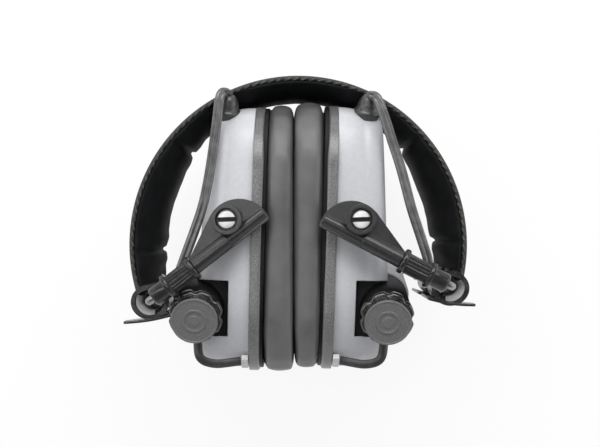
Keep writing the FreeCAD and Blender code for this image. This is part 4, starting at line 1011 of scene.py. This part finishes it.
core, apart = lead_thickness / 2, lead_width / 2 - lead_thickness / 2
half = [(apart + core * math.cos(a), core * math.sin(a)) for a in
        [math.radians(step) for step in range(-150, 151, 25)]]
twin_section = outline_curve("twin_section", half + [(-across, -up) for across, up in half])
upper_routes = {
    "left": [(0.0276, 0.0562, 0.0318), (0.0293, 0.0556, 0.0342), (0.0299, 0.0510, 0.0350),
             (0.0304, 0.0450, 0.0350), (0.0311, 0.0376, 0.0354), (0.0320, 0.0290, 0.0362),
             (0.0331, 0.0206, 0.0371), (0.0345, 0.0124, 0.0378), (0.0371, 0.0038, 0.0380),
             (0.0400, -0.0048, 0.0380)],
    "right": [(0.0284, 0.0552, 0.0316), (0.0302, 0.0544, 0.0338), (0.0318, 0.0506, 0.0346),
              (0.0340, 0.0448, 0.0350), (0.0362, 0.0380, 0.0354), (0.0391, 0.0300, 0.0362),
              (0.0417, 0.0212, 0.0371), (0.0441, 0.0122, 0.0378), (0.0472, 0.0036, 0.0380),
              (0.0502, -0.0048, 0.0380)]}
lower_routes = {
    "left": [(0.0134, 0.0009, 0.0376), (0.0102, -0.0004, 0.0334), (0.0088, -0.0008, 0.0264),
             (0.0085, -0.0008, 0.0166), (0.0084, -0.0007, 0.0076), (0.0082, -0.0006, 0.0014)],
    "right": [(0.0104, 0.0006, 0.0369), (0.0100, -0.0018, 0.0326), (0.0098, -0.0028, 0.0256),
              (0.0096, -0.0030, 0.0170), (0.0092, -0.0027, 0.0082), (0.0084, -0.0022, 0.0018)]}


def leg_point(hand, along, across, front):
    """Place of a point given in metres along a fork's leg, across it towards the pivot, and to the front."""
    return leg_place(hand) @ Vector((along, across, front))


boot_heights, behind_grip, grommet_radius = (0.0056, 0.0066), 0.0036, 0.0050
for hand in hands:
    route = [boot_point(hand, height) for height in boot_heights]
    route += [cup_point(hand, *place) for place in upper_routes[hand]]
    upper, path = follow(f"{hand}_upper_lead", route, twin_section, "Z_UP")
    upper.data.materials.append(cord_rubber)
    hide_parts(f"{hand}_upper_cable")
    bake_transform(upper)
    meeting = route[-1]
    ahead = (route[-1] - route[-2]).normalized()
    inside = [leg_point(hand, *place) for place in lower_routes[hand]]
    middle = leg_point(hand, 0, 0, 0)
    end = middle + (inside[-1] - middle).normalized() * grommet_radius
    route = [meeting, meeting + ahead * behind_grip] + inside + [end]
    lower, path = follow(f"{hand}_lower_lead", route, twin_section, "MINIMUM")
    lower.data.materials.append(cord_rubber)
    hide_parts(f"{hand}_lower_cable")
    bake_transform(lower)

# ---- tether straps ----
# A flat rubber strap keeps each battery cap from being lost: from behind the knob to a tab on the shell.
# It is moulded in one piece, and its end is held in the strap keeper.
strap_section = outline_curve("strap_section", [(0.0015, -0.0005), (0.0017, 0), (0.0015, 0.0005),
                                                (-0.0015, 0.0005), (-0.0017, 0), (-0.0015, -0.0005)])
strap_route = [(0.0358, -0.0370, 0.0306), (0.0357, -0.0420, 0.0322), (0.0346, -0.0466, 0.0330),
               (0.0292, -0.0484, 0.0316), (0.0240, -0.0480, 0.0294), (0.0193, -0.0474, 0.0276)]
strap_rubber = moulded("strap_rubber", tone(44), tone(58), 0.003, 0.36, 0.1, 0.0002)
for hand in hands:
    strap, _line = follow(f"{hand}_strap", [cup_point(hand, *place) for place in strap_route],
                          strap_section, "Z_UP")
    strap.data.materials.append(strap_rubber)
    settle(strap, f"{hand}_cup", "rubber_black", f"{hand}_tether_strap")
for section in (twin_section, strap_section):
    bpy.data.objects.remove(section)
